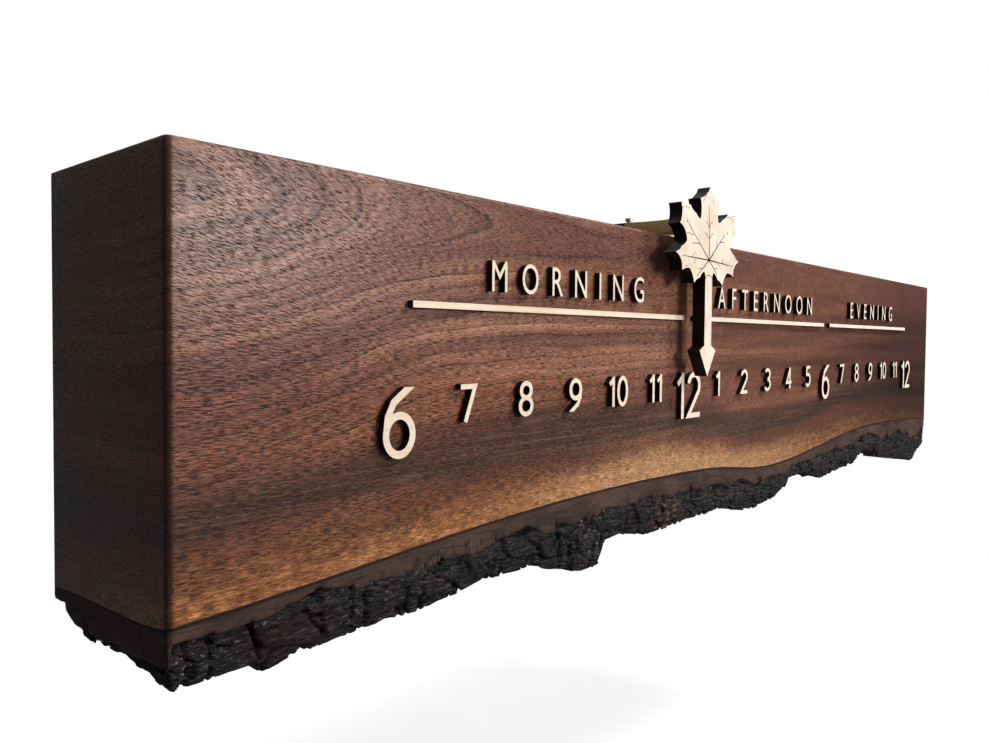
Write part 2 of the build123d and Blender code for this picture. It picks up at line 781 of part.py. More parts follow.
# Belt: a flat band round both pulleys
with BuildPart() as belt:
    with BuildSketch(Plane.XZ.offset(-belt_middle - belt_width / 2)):
        with Locations((0, drive_height)):
            SlotCenterToCenter(2 * axle_x, 2 * belt_outer)
            SlotCenterToCenter(2 * axle_x, 2 * belt_inner, mode=Mode.SUBTRACT)
    extrude(amount=belt_width)
save(belt, "belt")

# Home switch and its sprung lever
lever_tilt = 15.0
lever_length = 18.0
lever_sheet = 0.4
lever_width = 5.0
lever_pin_radius = 0.7
plunger = (1.4, 2.5, 1.6)
switch_middle = motor_front + switch_size[1] / 2
lever_pin = (switch_right + lever_pin_radius + 0.2, switch_middle, switch_low + 1.5)
with BuildPart() as home_switch:
    with Locations((switch_x, switch_middle, switch_low + switch_size[2] / 2)):
        Box(*switch_size)
    with Locations((switch_right, switch_middle, switch_low + switch_size[2] / 2)):
        Box(*plunger)
    with places([lever_pin], forward):
        Cylinder(lever_pin_radius + free_gap, switch_size[1] + 1, mode=Mode.SUBTRACT)
    with places([(x, motor_front, z) for x, _, z in switch_screw_points], forward):
        Hole(switch_screw_radius + fit_gap, depth=switch_size[1])
save(home_switch, "home_switch")

with BuildPart() as switch_screws:
    with places(switch_screw_points, forward):
        pan_screw(
            switch_screw_radius, sheet + switch_size[1] - free_gap, switch_screw_head,
            switch_screw_head_height,
        )
save(switch_screws, "switch_screws")

with BuildPart() as switch_lever:
    with places([lever_pin], forward):
        Cylinder(lever_pin_radius, lever_width)
    with Locations(Location(lever_pin, (0, lever_tilt, 0))):
        with Locations((0, 0, lever_length / 2)):
            Box(lever_sheet, lever_width, lever_length)
save(switch_lever, "switch_lever")


def on_circuit(shares):
    """Place on the circuit board, from its middle, in shares of its length and width."""
    return circuit_x + shares[0] * board_length, circuit_z + shares[1] * board_width


# Circuit board with what is soldered to it
circuit_low = circuit_z - board_width / 2
jack_inset, jack_stand = 14.0, 2.0
jack_size = (9.0, 11.0, 14.0)
jack_x = circuit_x + board_length / 2 - jack_inset
jack_bottom = circuit_low - jack_stand
socket_radius, socket_depth, socket_pin, pin_recess = 3.1, 10.0, 1.0, 1.0
button_points = [circuit_x + share * board_length for share in button_shares]
button_size = 6.0
stem_radius, stem_length = 1.6, 5.5
cap_radius, cap_length = 2.75, 2.5
cap_gap = 2 * button_travel   # between a button's cap and its body
module_x, module_z = on_circuit(module_place)
module_length, module_width, module_sheet = 42.0, 18.0, 1.2
driver_x, driver_z = on_circuit(driver_place)
driver_length, driver_width = 20.0, 15.0
header_width, header_inset = 2.5, 1.4
chip, driver_chip = (9.0, 1.6, 9.0), (9.0, 2.0, 9.0)
port = (7.6, 2.6, 5.6)
fin_sheet, fin_depth, fin_pitch = 0.9, 3.0, 2.0
cell_x, cell_z = on_circuit(cell_place)
cell_radius, cell_thickness = 10.0, 3.2
holder_wall, holder_height, holder_floor = 1.5, 3.0, 1.0

with BuildPart() as controller_board:
    with Locations((circuit_x, (circuit_back + circuit_face) / 2, circuit_z)):
        Box(board_length, board_sheet, board_width)
    with places([(x, circuit_face, z) for x, _, z in standoff_points], forward):
        Hole(stud_radius + fit_gap, depth=board_sheet)
    for middle, height, wide in (
        (module_x, module_z, module_width), (driver_x, driver_z, driver_width),
    ):
        with Locations(*[
            (middle + side * (wide / 2 - header_inset), circuit_face - header / 2, height)
            for side in (-1, 1)
        ]):
            Box(header_width, header, driver_length)
    with places([(cell_x, circuit_face, cell_z)], forward):
        Cylinder(cell_radius + holder_wall, holder_height, align=to_top)
    with places([(cell_x, circuit_face - holder_height, cell_z)], forward):
        Hole(cell_radius + fit_gap, depth=holder_height - holder_floor)
    with Locations(*[
        (x, circuit_face - button_size / 2, circuit_low + button_size / 2) for x in button_points
    ]):
        Box(button_size, button_size, button_size)
    with places([
        (x, circuit_face - button_size / 2, circuit_low) for x in button_points
    ], downward):
        Hole(stem_radius + 2 * fit_gap, depth=stem_length / 2 + button_travel + drill_spare / 2)
save(controller_board, "controller_board")

with BuildPart() as board_standoffs:
    with places(standoff_points, forward):
        Cylinder(stud_radius, stud_length, align=to_bottom)
    with BuildSketch(Plane.XZ.offset(-board_front)):
        with Locations(*[(x, z) for x, _, z in standoff_points]):
            RegularPolygon(standoff_radius, 6)
    extrude(amount=standoff)
    with places([(x, circuit_back, z) for x, _, z in standoff_points], forward):
        Hole(stud_radius + fit_gap, depth=standoff - drill_spare)
save(board_standoffs, "board_standoffs")

with BuildPart() as board_screws:
    with places([(x, circuit_face, z) for x, _, z in standoff_points], forward):
        pan_screw(
            stud_radius, board_sheet + standoff - 2 * drill_spare, screw_head, screw_head_height,
        )
save(board_screws, "board_screws")

module_back = circuit_face - header
module_face = module_back - module_sheet
fin_root = module_face - driver_chip[1]
with BuildPart() as processor_module:
    with Locations((module_x, module_back - module_sheet / 2, module_z)):
        Box(module_width, module_sheet, module_length)
    with Locations((module_x, module_face - chip[1] / 2, module_z)):
        Box(*chip)
    with Locations((module_x, module_face - port[1] / 2, module_z - (module_length - port[2]) / 2)):
        Box(*port)
save(processor_module, "processor_module")

with BuildPart() as motor_driver:
    with Locations((driver_x, module_back - module_sheet / 2, driver_z)):
        Box(driver_width, module_sheet, driver_length)
    with Locations((driver_x, module_face - driver_chip[1] / 2, driver_z)):
        Box(*driver_chip)
    with Locations(*[
        (driver_x + step * fin_pitch, fin_root - fin_depth / 2, driver_z) for step in range(-2, 3)
    ]):
        Box(fin_sheet, fin_depth, driver_chip[2])
save(motor_driver, "motor_driver")

with BuildPart() as backup_cell:
    with places([(cell_x, circuit_face - holder_floor, cell_z)], forward):
        Cylinder(cell_radius, cell_thickness, align=to_top)
save(backup_cell, "backup_cell")

with BuildPart() as power_jack:
    with Locations((jack_x, circuit_face - jack_size[1] / 2, jack_bottom + jack_size[2] / 2)):
        Box(*jack_size)
    with places([(jack_x, circuit_face - jack_size[1] / 2, jack_bottom)], downward):
        Hole(socket_radius, depth=socket_depth)
        with Locations((0, 0, -socket_depth)):
            Cylinder(socket_pin, socket_depth - pin_recess, align=to_top)
save(power_jack, "power_jack")

# Push buttons that set the pointer forward and back
for button_name, button_x in zip(("back_button", "forward_button"), button_points):
    with BuildPart() as button:
        with places([(button_x, circuit_face - button_size / 2, circuit_low)], downward):
            Cylinder(stem_radius, stem_length)
            with Locations((0, 0, cap_gap)):
                Cylinder(cap_radius, cap_length, align=to_top)
    save(button, button_name)

# Carriage plate: it carries the wheels, the belt clamp and the pointer's post
upper_wheels = [(noon + side * wheel_spread, rail_height + wheel_rise) for side in (-1, 1)]
lower_wheel = (noon, rail_height - wheel_rise)
post_bottom = lower_wheel[1] + bolt_head + post_gap
post_screw_heights = [post_bottom + rise for rise in post_screw_rises]
clamp_drop, tongue_reach = 3.0, 6.0
clamp_low = drive_height + belt_inner - free_gap
clamp_high = plate_low - clamp_drop
tongue_low = clamp_low - tongue_reach
clamp_screw_x = 7.0
clamp_screw_z = (clamp_low + clamp_high) / 2 + belt_thickness + free_gap
clamp_bite, cap_bite = 8.0, 5.0       # depths of the threads in the clamp

with BuildPart() as carriage_plate:
    with BuildSketch(Plane.XZ.offset(-plate_rear)):
        with Locations((noon, (plate_low + plate_high) / 2)):
            RectangleRounded(plate_width, plate_high - plate_low, plate_corner)
        with Locations((noon, (plate_low + plate_corner + tongue_low) / 2)):
            Rectangle(tongue_width, plate_low + plate_corner - tongue_low)
        with Locations(*upper_wheels, lower_wheel):
            Circle(bolt_radius + fit_gap, mode=Mode.SUBTRACT)
        with Locations(*[(noon, z) for z in post_screw_heights]):
            Circle(screw_radius + fit_gap, mode=Mode.SUBTRACT)
        with Locations(*[(noon + side * clamp_screw_x, clamp_screw_z) for side in (-1, 1)]):
            Circle(screw_radius + fit_gap, mode=Mode.SUBTRACT)
    extrude(amount=plate_thickness)
save(carriage_plate, "carriage_plate")

wheel_front = rail_middle - wheel_width / 2
wheel_rear = rail_middle + wheel_width / 2
all_wheels = [*upper_wheels, lower_wheel]
with BuildPart() as wheel_bolts:
    with places([(x, plate_front, z) for x, z in all_wheels], forward):
        pan_screw(
            bolt_radius, wheel_rear - plate_front + nut_thickness + 2 * free_gap, bolt_head,
            bolt_head_height,
        )
save(wheel_bolts, "wheel_bolts")

with BuildPart() as wheel_nuts:
    with BuildSketch(Plane.XZ.offset(-wheel_rear - free_gap)):
        with Locations(*all_wheels):
            RegularPolygon(nut_radius, 6)
            Circle(bolt_radius + fit_gap, mode=Mode.SUBTRACT)
    extrude(amount=-nut_thickness)
save(wheel_nuts, "wheel_nuts")

# The lower spacer is an eccentric six-sided one, turned to press its wheel against the rail
eccentric_radius, eccentric_throw = 5.0, 0.4
with BuildPart() as wheel_spacers:
    with BuildSketch(Plane.XZ.offset(-plate_rear)):
        with Locations(*upper_wheels):
            Circle(wheel_spacer_radius)
        with Locations((lower_wheel[0], lower_wheel[1] - eccentric_throw)):
            RegularPolygon(eccentric_radius, 6)
        with Locations(*all_wheels):
            Circle(bolt_radius + fit_gap, mode=Mode.SUBTRACT)
    extrude(amount=-(wheel_front - plate_rear - free_gap))
save(wheel_spacers, "wheel_spacers")

rim_gap = 0.42                # between a rim and the groove's side, along its axle
rim_half = slot_mouth - wheel_sink - rim_gap
shoulder = wheel_radius - (wheel_width / 2 - rim_half)
for wheel_name, (wheel_x, wheel_z) in zip(
    ("wheel_upper_left", "wheel_upper_right", "wheel_lower"), all_wheels
):
    with BuildPart() as wheel:
        with BuildSketch(Plane.YZ.offset(wheel_x)):
            with BuildLine():
                Polyline(
                    (wheel_front, wheel_z + bolt_radius + fit_gap),
                    (wheel_front, wheel_z + shoulder),
                    (rail_middle - rim_half, wheel_z + wheel_radius),
                    (rail_middle + rim_half, wheel_z + wheel_radius),
                    (wheel_rear, wheel_z + shoulder),
                    (wheel_rear, wheel_z + bolt_radius + fit_gap), close=True,
                )
            make_face()
        revolve(axis=Axis((wheel_x, 0, wheel_z), (0, 1, 0)))
    save(wheel, wheel_name)

# Belt clamp: a block on the plate's tongue and a cap under the belt's upper run
clamp_lip, belt_room = 2.0, 0.7
clamp_front = belt_middle - belt_width / 2 - clamp_lip
lip = belt_middle + belt_width / 2 + belt_room
belt_top = drive_height + belt_outer + free_gap
with BuildPart() as belt_clamp:
    with BuildSketch(Plane.YZ.offset(noon - tongue_width / 2)):
        with BuildLine():
            Polyline(
                (clamp_front, belt_top), (lip, belt_top), (lip, clamp_low),
                (plate_front, clamp_low), (plate_front, clamp_high), (clamp_front, clamp_high),
                close=True,
            )
        make_face()
    extrude(amount=tongue_width)
    with places([
        (noon + side * clamp_screw_x, plate_front, clamp_screw_z) for side in (-1, 1)
    ], rearward):
        Hole(screw_radius + fit_gap, depth=clamp_bite)
    with places([
        (noon + side * clamp_screw_x, (lip + plate_front) / 2, clamp_low) for side in (-1, 1)
    ], downward):
        Hole(screw_radius + fit_gap, depth=cap_bite)
save(belt_clamp, "belt_clamp")

cap_height = 5.0
with BuildPart() as clamp_cap:
    with Locations((noon, (clamp_front + plate_front) / 2, clamp_low - cap_height / 2)):
        Box(tongue_width, plate_front - clamp_front, cap_height)
    with places([
        (noon + side * clamp_screw_x, (lip + plate_front) / 2, clamp_low - cap_height)
        for side in (-1, 1)
    ], downward):
        Hole(screw_radius + fit_gap, depth=cap_height)
save(clamp_cap, "clamp_cap")

with BuildPart() as clamp_screws:
    with places([
        (noon + side * clamp_screw_x, plate_rear, clamp_screw_z) for side in (-1, 1)
    ], rearward):
        pan_screw(
            screw_radius, plate_thickness + clamp_bite - drill_spare / 2, screw_head,
            screw_head_height,
        )
    with places([
        (noon + side * clamp_screw_x, (lip + plate_front) / 2, clamp_low - cap_height)
        for side in (-1, 1)
    ], downward):
        pan_screw(
            screw_radius, cap_height + cap_bite - drill_spare / 2, screw_head, screw_head_height,
        )
save(clamp_screws, "clamp_screws")

# Post that carries the arm over the top edge, with a jaw for the arm's tenon
jaw_top = arm_bottom + tenon + tenon_gap + jaw
arm_screw_bite = 8.0          # below the arm
arm_screw_stand = 2.2         # how far the head stands off the jaw
with BuildPart() as pointer_post:
    with BuildSketch(Plane.YZ.offset(noon - post_width / 2)):
        with BuildLine():
            Polyline(
                (plate_front, post_bottom), (plate_front - post_toe, post_bottom),
                (post_front, post_bottom + post_taper), (post_front, arm_bottom),
                (jaw_rear, arm_bottom), (jaw_rear, jaw_top - jaw), (post_front, jaw_top - jaw),
                (post_front, jaw_top), (plate_front, jaw_top), close=True,
            )
        make_face()
    extrude(amount=post_width)
    with places([(noon, post_front, z) for z in post_screw_heights], forward):
        CounterBoreHole(
            screw_radius + fit_gap, screw_head + fit_gap, post_counterbore, depth=post_depth,
        )
    with Locations((noon, screw_y, jaw_top)):
        Hole(screw_radius + fit_gap, depth=jaw_top - arm_bottom + arm_screw_bite + drill_spare)
save(pointer_post, "pointer_post")

with BuildPart() as post_screws:
    with places([
        (noon, post_front + post_counterbore, z) for z in post_screw_heights
    ], forward):
        pan_screw(
            screw_radius, post_depth - post_counterbore + plate_thickness + drill_spare,
            screw_head, screw_head_height,
        )
save(post_screws, "post_screws")

# Arm: a flat maple strip, waisted in plan
arm_rear_half, arm_waist_half, arm_front_half = 12.5, 8.0, 14.0
arm_shoulder = post_front - shoulder_gap
with BuildPart() as arm:
    with BuildSketch(Plane.XY.offset(arm_bottom)):
        waist_y = (leaf_back + arm_shoulder) / 2
        with BuildLine():
            ThreePointArc(
                (noon + arm_rear_half, arm_shoulder), (noon + arm_waist_half, waist_y),
                (noon + arm_front_half, leaf_back),
            )
            Line((noon + arm_front_half, leaf_back), (noon - arm_front_half, leaf_back))
            ThreePointArc(
                (noon - arm_front_half, leaf_back), (noon - arm_waist_half, waist_y),
                (noon - arm_rear_half, arm_shoulder),
            )
            Line((noon - arm_rear_half, arm_shoulder), (noon + arm_rear_half, arm_shoulder))
        make_face()
    extrude(amount=arm_thickness)
    with Locations((noon, (arm_shoulder + jaw_rear) / 2, arm_bottom + tenon / 2)):
        Box(post_width, jaw_rear - arm_shoulder, tenon)
    with Locations((noon, screw_y, arm_bottom + tenon)):
        Hole(screw_radius + fit_gap, depth=tenon)
save(arm, "arm")

arm_screw_head_height = 2.2
with BuildPart() as arm_screw:
    with Locations((noon, screw_y, jaw_top + arm_screw_stand)):
        pan_screw(
            screw_radius, jaw_top + arm_screw_stand - arm_bottom + arm_screw_bite, screw_head,
            arm_screw_head_height,
        )
save(arm_screw, "arm_screw")

# Leaf with its stem and arrow, symmetric about the pointer's middle. Points are distances
# from the middle, and heights above the case's top edge.
stem_half, leaf_bow = 4.45, 0.08      # leaf_bow: rise of an edge's arc, as a share of its chord
leaf_edge = [
    (0, 30.2), (4.2, 25.6), (12.2, 22.3), (10.8, 15.5), (11.8, 9.6), (17.2, 12.2),
    (24.5, 16.6), (35.6, 16.8), (34.2, 10.6), (36.6, 4.6), (30.8, 1.4), (28.0, -4.6),
    (34.8, -8.6), (41.0, -12.4), (34.4, -16.8), (33.4, -22.6), (24.0, -20.8), (18.6, -29.2),
    (11.6, -25.6), (6.2, -21.6), (stem_half, -24.5),
]
arrow_edge = [(stem_half, -24.5), (stem_half, -66.5), (10.4, -69.5), (0, -85.5)]


def pointer_side(side):
    """One side of the pointer: shallow arcs between the leaf's points, then stem and arrow."""
    with BuildLine() as edge:
        points = [Vector(noon + side * x, top_height + z) for x, z in leaf_edge]
        for start, end in zip(points, points[1:]):
            SagittaArc(start, end, -side * leaf_bow * (end - start).length)
        Polyline(*[(noon + side * x, top_height + z) for x, z in arrow_edge])
    return edge.line


with BuildPart() as leaf_pointer:
    with BuildSketch(Plane.XZ.offset(-leaf_back)):
        make_face([*pointer_side(-1).edges(), *pointer_side(1).edges()])
    extrude(amount=leaf_thickness)
save(leaf_pointer, "leaf_pointer")
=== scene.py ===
# %% [markdown]
# A linear wall clock, dressed for the camera. The case is one live-edge walnut plank, mitred
# round two corners, with its bark kept along the bottom. A leaf pointer slides along 19 hours.
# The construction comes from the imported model, which is loaded first and never moved. What
# Blender adds is the finish of each surface, and the pieces whose shape is too fine for a solid:
# bark, wood with rounded corners, words, veins, screw heads and the toothed belt.

import json
import math

import bmesh
import bpy
import numpy as np
from mathutils import Matrix, Vector

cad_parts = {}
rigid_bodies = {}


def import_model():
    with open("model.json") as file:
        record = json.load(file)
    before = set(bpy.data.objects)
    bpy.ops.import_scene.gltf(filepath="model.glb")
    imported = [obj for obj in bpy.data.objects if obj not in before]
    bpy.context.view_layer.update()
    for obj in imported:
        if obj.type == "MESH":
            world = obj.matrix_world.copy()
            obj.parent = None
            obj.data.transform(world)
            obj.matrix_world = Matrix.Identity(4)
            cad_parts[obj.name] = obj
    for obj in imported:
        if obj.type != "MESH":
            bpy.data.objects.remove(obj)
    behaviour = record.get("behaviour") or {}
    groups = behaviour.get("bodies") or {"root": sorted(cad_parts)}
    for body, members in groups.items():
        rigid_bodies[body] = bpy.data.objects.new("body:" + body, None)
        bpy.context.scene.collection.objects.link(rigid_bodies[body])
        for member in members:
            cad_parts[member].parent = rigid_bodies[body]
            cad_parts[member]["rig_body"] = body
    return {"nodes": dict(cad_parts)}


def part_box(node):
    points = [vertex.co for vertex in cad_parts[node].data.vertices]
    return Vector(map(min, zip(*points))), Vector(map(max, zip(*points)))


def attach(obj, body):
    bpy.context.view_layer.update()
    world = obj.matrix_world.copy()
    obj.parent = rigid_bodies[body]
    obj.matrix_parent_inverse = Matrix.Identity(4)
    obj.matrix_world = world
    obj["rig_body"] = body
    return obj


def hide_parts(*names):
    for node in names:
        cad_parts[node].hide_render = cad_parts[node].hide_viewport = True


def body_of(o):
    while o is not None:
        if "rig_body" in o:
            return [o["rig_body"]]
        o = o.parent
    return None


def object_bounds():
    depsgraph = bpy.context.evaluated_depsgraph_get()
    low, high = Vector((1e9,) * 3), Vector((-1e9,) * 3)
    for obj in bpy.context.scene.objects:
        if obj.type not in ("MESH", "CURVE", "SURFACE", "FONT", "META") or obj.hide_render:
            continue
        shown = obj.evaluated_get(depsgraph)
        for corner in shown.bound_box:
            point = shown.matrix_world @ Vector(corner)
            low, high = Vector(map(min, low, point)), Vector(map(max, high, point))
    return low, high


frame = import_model()
nodes = frame["nodes"]
cad_low, cad_high = [list(corner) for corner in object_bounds()]
half, front, top = cad_high[0], -0.094, 0.075
print("nodes:", len(nodes), "box:", cad_low, cad_high)

# %% [markdown]
# The camera stands close to the left corner and looks along the front, which is what makes the
# near corner tall and the far one small. Its place and turn were worked out from the corners of
# the case and the places of the numerals. A camera looks along its own -Z, so the columns of its
# matrix are the picture's right, the picture's up, and the direction back towards the viewer.

# %% Camera
camera_place = (-0.5746, -0.3391, 0.0116)
yaw, pitch, roll = (math.radians(angle) for angle in (48.33, 1.79, 0.498))


def new_object(name, data):
    """New object in the scene, at the origin."""
    made = bpy.data.objects.new(name, data)
    bpy.context.scene.collection.objects.link(made)
    return made


def camera_turn(yaw, pitch, roll):
    """Turn from a heading measured from +Y towards +X, a tilt downwards and a roll."""
    ahead = Vector((
        math.sin(yaw) * math.cos(pitch), math.cos(yaw) * math.cos(pitch), -math.sin(pitch),
    ))
    level = Vector((math.cos(yaw), -math.sin(yaw), 0))
    above = level.cross(ahead)
    right = math.cos(roll) * level + math.sin(roll) * above
    up = -math.sin(roll) * level + math.cos(roll) * above
    return Matrix((right, up, -ahead)).transposed()


camera_data = bpy.data.cameras.new("camera")
camera_data.lens, camera_data.sensor_width = 29.14, 36.0
camera_data.shift_x, camera_data.shift_y = 0.0002, -0.00787
camera_data.clip_start = 0.01
camera = new_object("camera", camera_data)
camera.matrix_world = Matrix.Translation(camera_place) @ camera_turn(yaw, pitch, roll).to_4x4()
bpy.context.scene.camera = camera
bpy.context.scene.view_settings.view_transform = "Standard"
print("camera at", camera_place)

# %% [markdown]
# Materials here are node trees. Writing each node and link by hand is long and hard to read, so
# what comes out of a node is held in a small class. A sum on it, such as `1 - 0.7 * noise(place)`,
# puts the Math nodes for that sum in the same tree, and a finish then reads like a formula.
# A few helpers stand for the other steps that come up again and again: mix two colours, spread
# a value over a colour ramp, make noise, and turn a height into bumps.


# %% Values and nodes
class Value:
    """What comes out of a node. A sum on it puts a Math node in its tree."""

    def __init__(self, socket):
        self.socket, self.tree = socket, socket.id_data

    def __add__(self, other):
        return calc("ADD", self, other)

    def __sub__(self, other):
        return calc("SUBTRACT", self, other)

    def __rsub__(self, other):
        return calc("SUBTRACT", other, self)

    def __mul__(self, other):
        return calc("MULTIPLY", self, other)

    def __truediv__(self, other):
        return calc("DIVIDE", self, other)

    __radd__, __rmul__ = __add__, __mul__


def connect(node, inputs):
    """Give a node its inputs: plain numbers and colours, or Values, which arrive by a link."""
    for name, value in inputs.items():
        if isinstance(value, Value):
            value.tree.links.new(value.socket, node.inputs[name])
        else:
            node.inputs[name].default_value = value


def put(tree, kind, inputs=None, **settings):
    """Put a node in a tree, with its settings and inputs."""
    node = tree.nodes.new(kind)
    for name, value in settings.items():
        setattr(node, name, value)
    connect(node, inputs or {})
    return node


def read(tree, kind, inputs=None, output=0, **settings):
    """Put a node in a tree and take one of its outputs."""
    return Value(put(tree, kind, inputs, **settings).outputs[output])


def calc(operation, *values):
    """One step of arithmetic, of which at least one value comes from a tree."""
    tree = next(value.tree for value in values if isinstance(value, Value))
    return read(tree, "ShaderNodeMath", dict(enumerate(values)), operation=operation)


def split(vector):
    """The x, y and z of a vector."""
    return [Value(part) for part in put(vector.tree, "ShaderNodeSeparateXYZ", {0: vector}).outputs]


def join(x, y, z):
    """Vector from three numbers, of which the first comes from a tree."""
    return read(x.tree, "ShaderNodeCombineXYZ", {0: x, 1: y, 2: z})


print("values can be added, subtracted, multiplied and divided")

# %% [markdown]
# Colours on a real surface come about in a few ways. One gives way to another over a short
# distance, or several follow each other along a scale, and noise says where. They were matched
# to the photograph on a screen, so they are written as screen colours, 0 to 255, and turned
# into the linear ones that a shader works with.


# %% Colours and noise
def fade(value, start, end):
    """Smooth step from 0 at the start to 1 at the end. The start may be the larger one."""
    low, high, begin, finish = (start, end, 0.0, 1.0) if start < end else (end, start, 1.0, 0.0)
    return read(value.tree, "ShaderNodeMapRange", {
        "Value": value, "From Min": low, "From Max": high, "To Min": begin, "To Max": finish,
    }, interpolation_type="SMOOTHSTEP")


def blend(share, first, second, way="MIX"):
    """Mix of two colours."""
    return read(share.tree, "ShaderNodeMix", {0: share, 6: first, 7: second}, output=2,
                data_type="RGBA", blend_type=way)


def linear(red, green, blue):
    """Screen colour, 0 to 255, as the linear colour that a shader takes."""
    share = np.array([red, green, blue]) / 255
    curved = np.where(share <= 0.04045, share / 12.92, ((share + 0.055) / 1.055) ** 2.4)
    return (*map(float, curved), 1.0)


def ramp(value, *stops):
    """Colour ramp: each stop is a place from 0 to 1 and a colour."""
    node = put(value.tree, "ShaderNodeValToRGB", {0: value})
    elements = node.color_ramp.elements
    while len(elements) < len(stops):
        elements.new(0.5)
    for element, (place, colour) in zip(elements, stops):
        element.position, element.color = place, colour
    return Value(node.outputs[0])


def noise(place, scale=(1, 1, 1), detail=2.0, rough=0.5, warp=0.0):
    """Noise from 0 to 1, whose grains are 1/scale metres along each axis."""
    sized = read(place.tree, "ShaderNodeMapping", {"Vector": place, "Scale": scale})
    return read(place.tree, "ShaderNodeTexNoise", {
        "Vector": sized, "Scale": 1.0, "Detail": detail, "Roughness": rough, "Distortion": warp,
    })


print("middle grey on the screen is", round(linear(128, 128, 128)[0], 3), "to a shader")

# %% [markdown]
# Every finish starts in the same way: one shader, and the Object coordinates, which stay with a
# piece when it moves. It ends with bumps, given as a height and a depth in metres. Bumps bend
# the light and leave the mesh alone, which is enough for marks as fine as pores.


# %% A finish and its relief
def finish(name):
    """New material: its shader, and the Object coordinates as one value and as x, y and z."""
    material = bpy.data.materials.new(name)
    material.use_nodes = True
    tree = material.node_tree
    tree.nodes.clear()
    shader = put(tree, "ShaderNodeBsdfPrincipled")
    put(tree, "ShaderNodeOutputMaterial", {"Surface": Value(shader.outputs[0])})
    place = read(tree, "ShaderNodeTexCoord", output="Object")
    return material, shader, place, split(place)


def relief(shader, height, depth):
    """Bump from a height, with the depth in metres."""
    bump = read(height.tree, "ShaderNodeBump",
                {"Height": height, "Distance": depth, "Strength": 1.0})
    connect(shader, {"Normal": bump})


print("helpers ready")

# %% [markdown]
# The light comes from the right. A window fairly straight ahead has its mirror image in the
# satin front at the upper left, which gives the wood its sheen there. A smaller lamp further
# round gives the numerals and the leaf their black shadows on the left. A weak lamp behind lets
# the inside be seen from the back.
#
# The world is white for the camera and a dim grey as a lamp. A reflection or a clear surface
# sees it white overhead and behind the clock on the right. Near the horizon it sees the dim room
# in which the photograph was taken, darkest behind the left end and at the far right, because a
# white room would wash the colour out of wood seen at a low angle.

# %% World and lamps
white = (1.0, 1.0, 1.0, 1.0)
room_light, room_seen = 0.15, 0.14
lamp_rows = (
    ("window", (0.60, -1.93, 0.44), (-0.10, front, 0.0), 0.62, 30.0),
    ("side_lamp", (1.25, -1.34, 1.70), (-0.10, front, 0.0), 0.34, 54.0),
    ("back_window", (0.45, 1.70, 0.90), (0.0, 0.0, 0.0), 1.20, 32.0),
)


def rays(tree, *kinds):
    """1 for a ray of one of the kinds named, otherwise 0."""
    outputs = put(tree, "ShaderNodeLightPath").outputs
    total = Value(outputs[f"Is {kinds[0]} Ray"])
    for kind in kinds[1:]:
        total = calc("MAXIMUM", total, Value(outputs[f"Is {kind} Ray"]))
    return total


def studio_world():
    """White to look at, a plain grey as a lamp, and dim near the horizon for a reflection."""
    world = bpy.data.worlds.new("room")
    world.use_nodes = True
    tree = world.node_tree
    tree.nodes.clear()
    x, y, z = split(read(tree, "ShaderNodeTexCoord", output="Generated"))
    open_side = calc("MAXIMUM", fade(y + 0.75 * x, 0.75, 1.15), fade(z, 0.35, 0.8))
    shaded = calc("MAXIMUM", 0.85 * fade(y - x, 1.10, 1.32), 0.65 * fade(x, 0.78, 0.94))
    dimmed = room_seen * (1.0 - shaded) + (1.0 - room_seen) * open_side
    strength = calc("MAXIMUM", rays(tree, "Camera"), dimmed)
    lamp = read(tree, "ShaderNodeBackground", {"Color": white, "Strength": room_light})
    room = read(tree, "ShaderNodeBackground", {"Color": white, "Strength": strength})
    seen = rays(tree, "Camera", "Glossy", "Transmission")
    both = read(tree, "ShaderNodeMixShader", {0: seen, 1: lamp, 2: room})
    put(tree, "ShaderNodeOutputWorld", {"Surface": both})
    bpy.context.scene.world = world


def square_lamp(name, place, aim, size, power):
    """Square area lamp, turned so that it shines at its aim."""
    lamp = bpy.data.lights.new(name, "AREA")
    lamp.shape, lamp.size, lamp.energy = "SQUARE", size, power
    turn = (Vector(aim) - Vector(place)).to_track_quat("-Z", "Y")
    turned = Matrix.Translation(place) @ turn.to_matrix().to_4x4()
    new_object(name, lamp).matrix_world = turned


studio_world()
for row in lamp_rows:
    square_lamp(*row)
print(len(lamp_rows), "lamps")

# %% [markdown]
# The photograph is white all round, with a soft shadow under the clock. A floor keeps that
# shadow. It glows more towards its rim, so that it is as white as the world before it ends. In a
# reflection it is as dim as the room. As a lamp it is a plain grey, so that it doesn't light the
# underside of the bark like snow.

# %% Floor
floor_height, floor_reach, floor_seen = -0.42, 1.25, 0.17


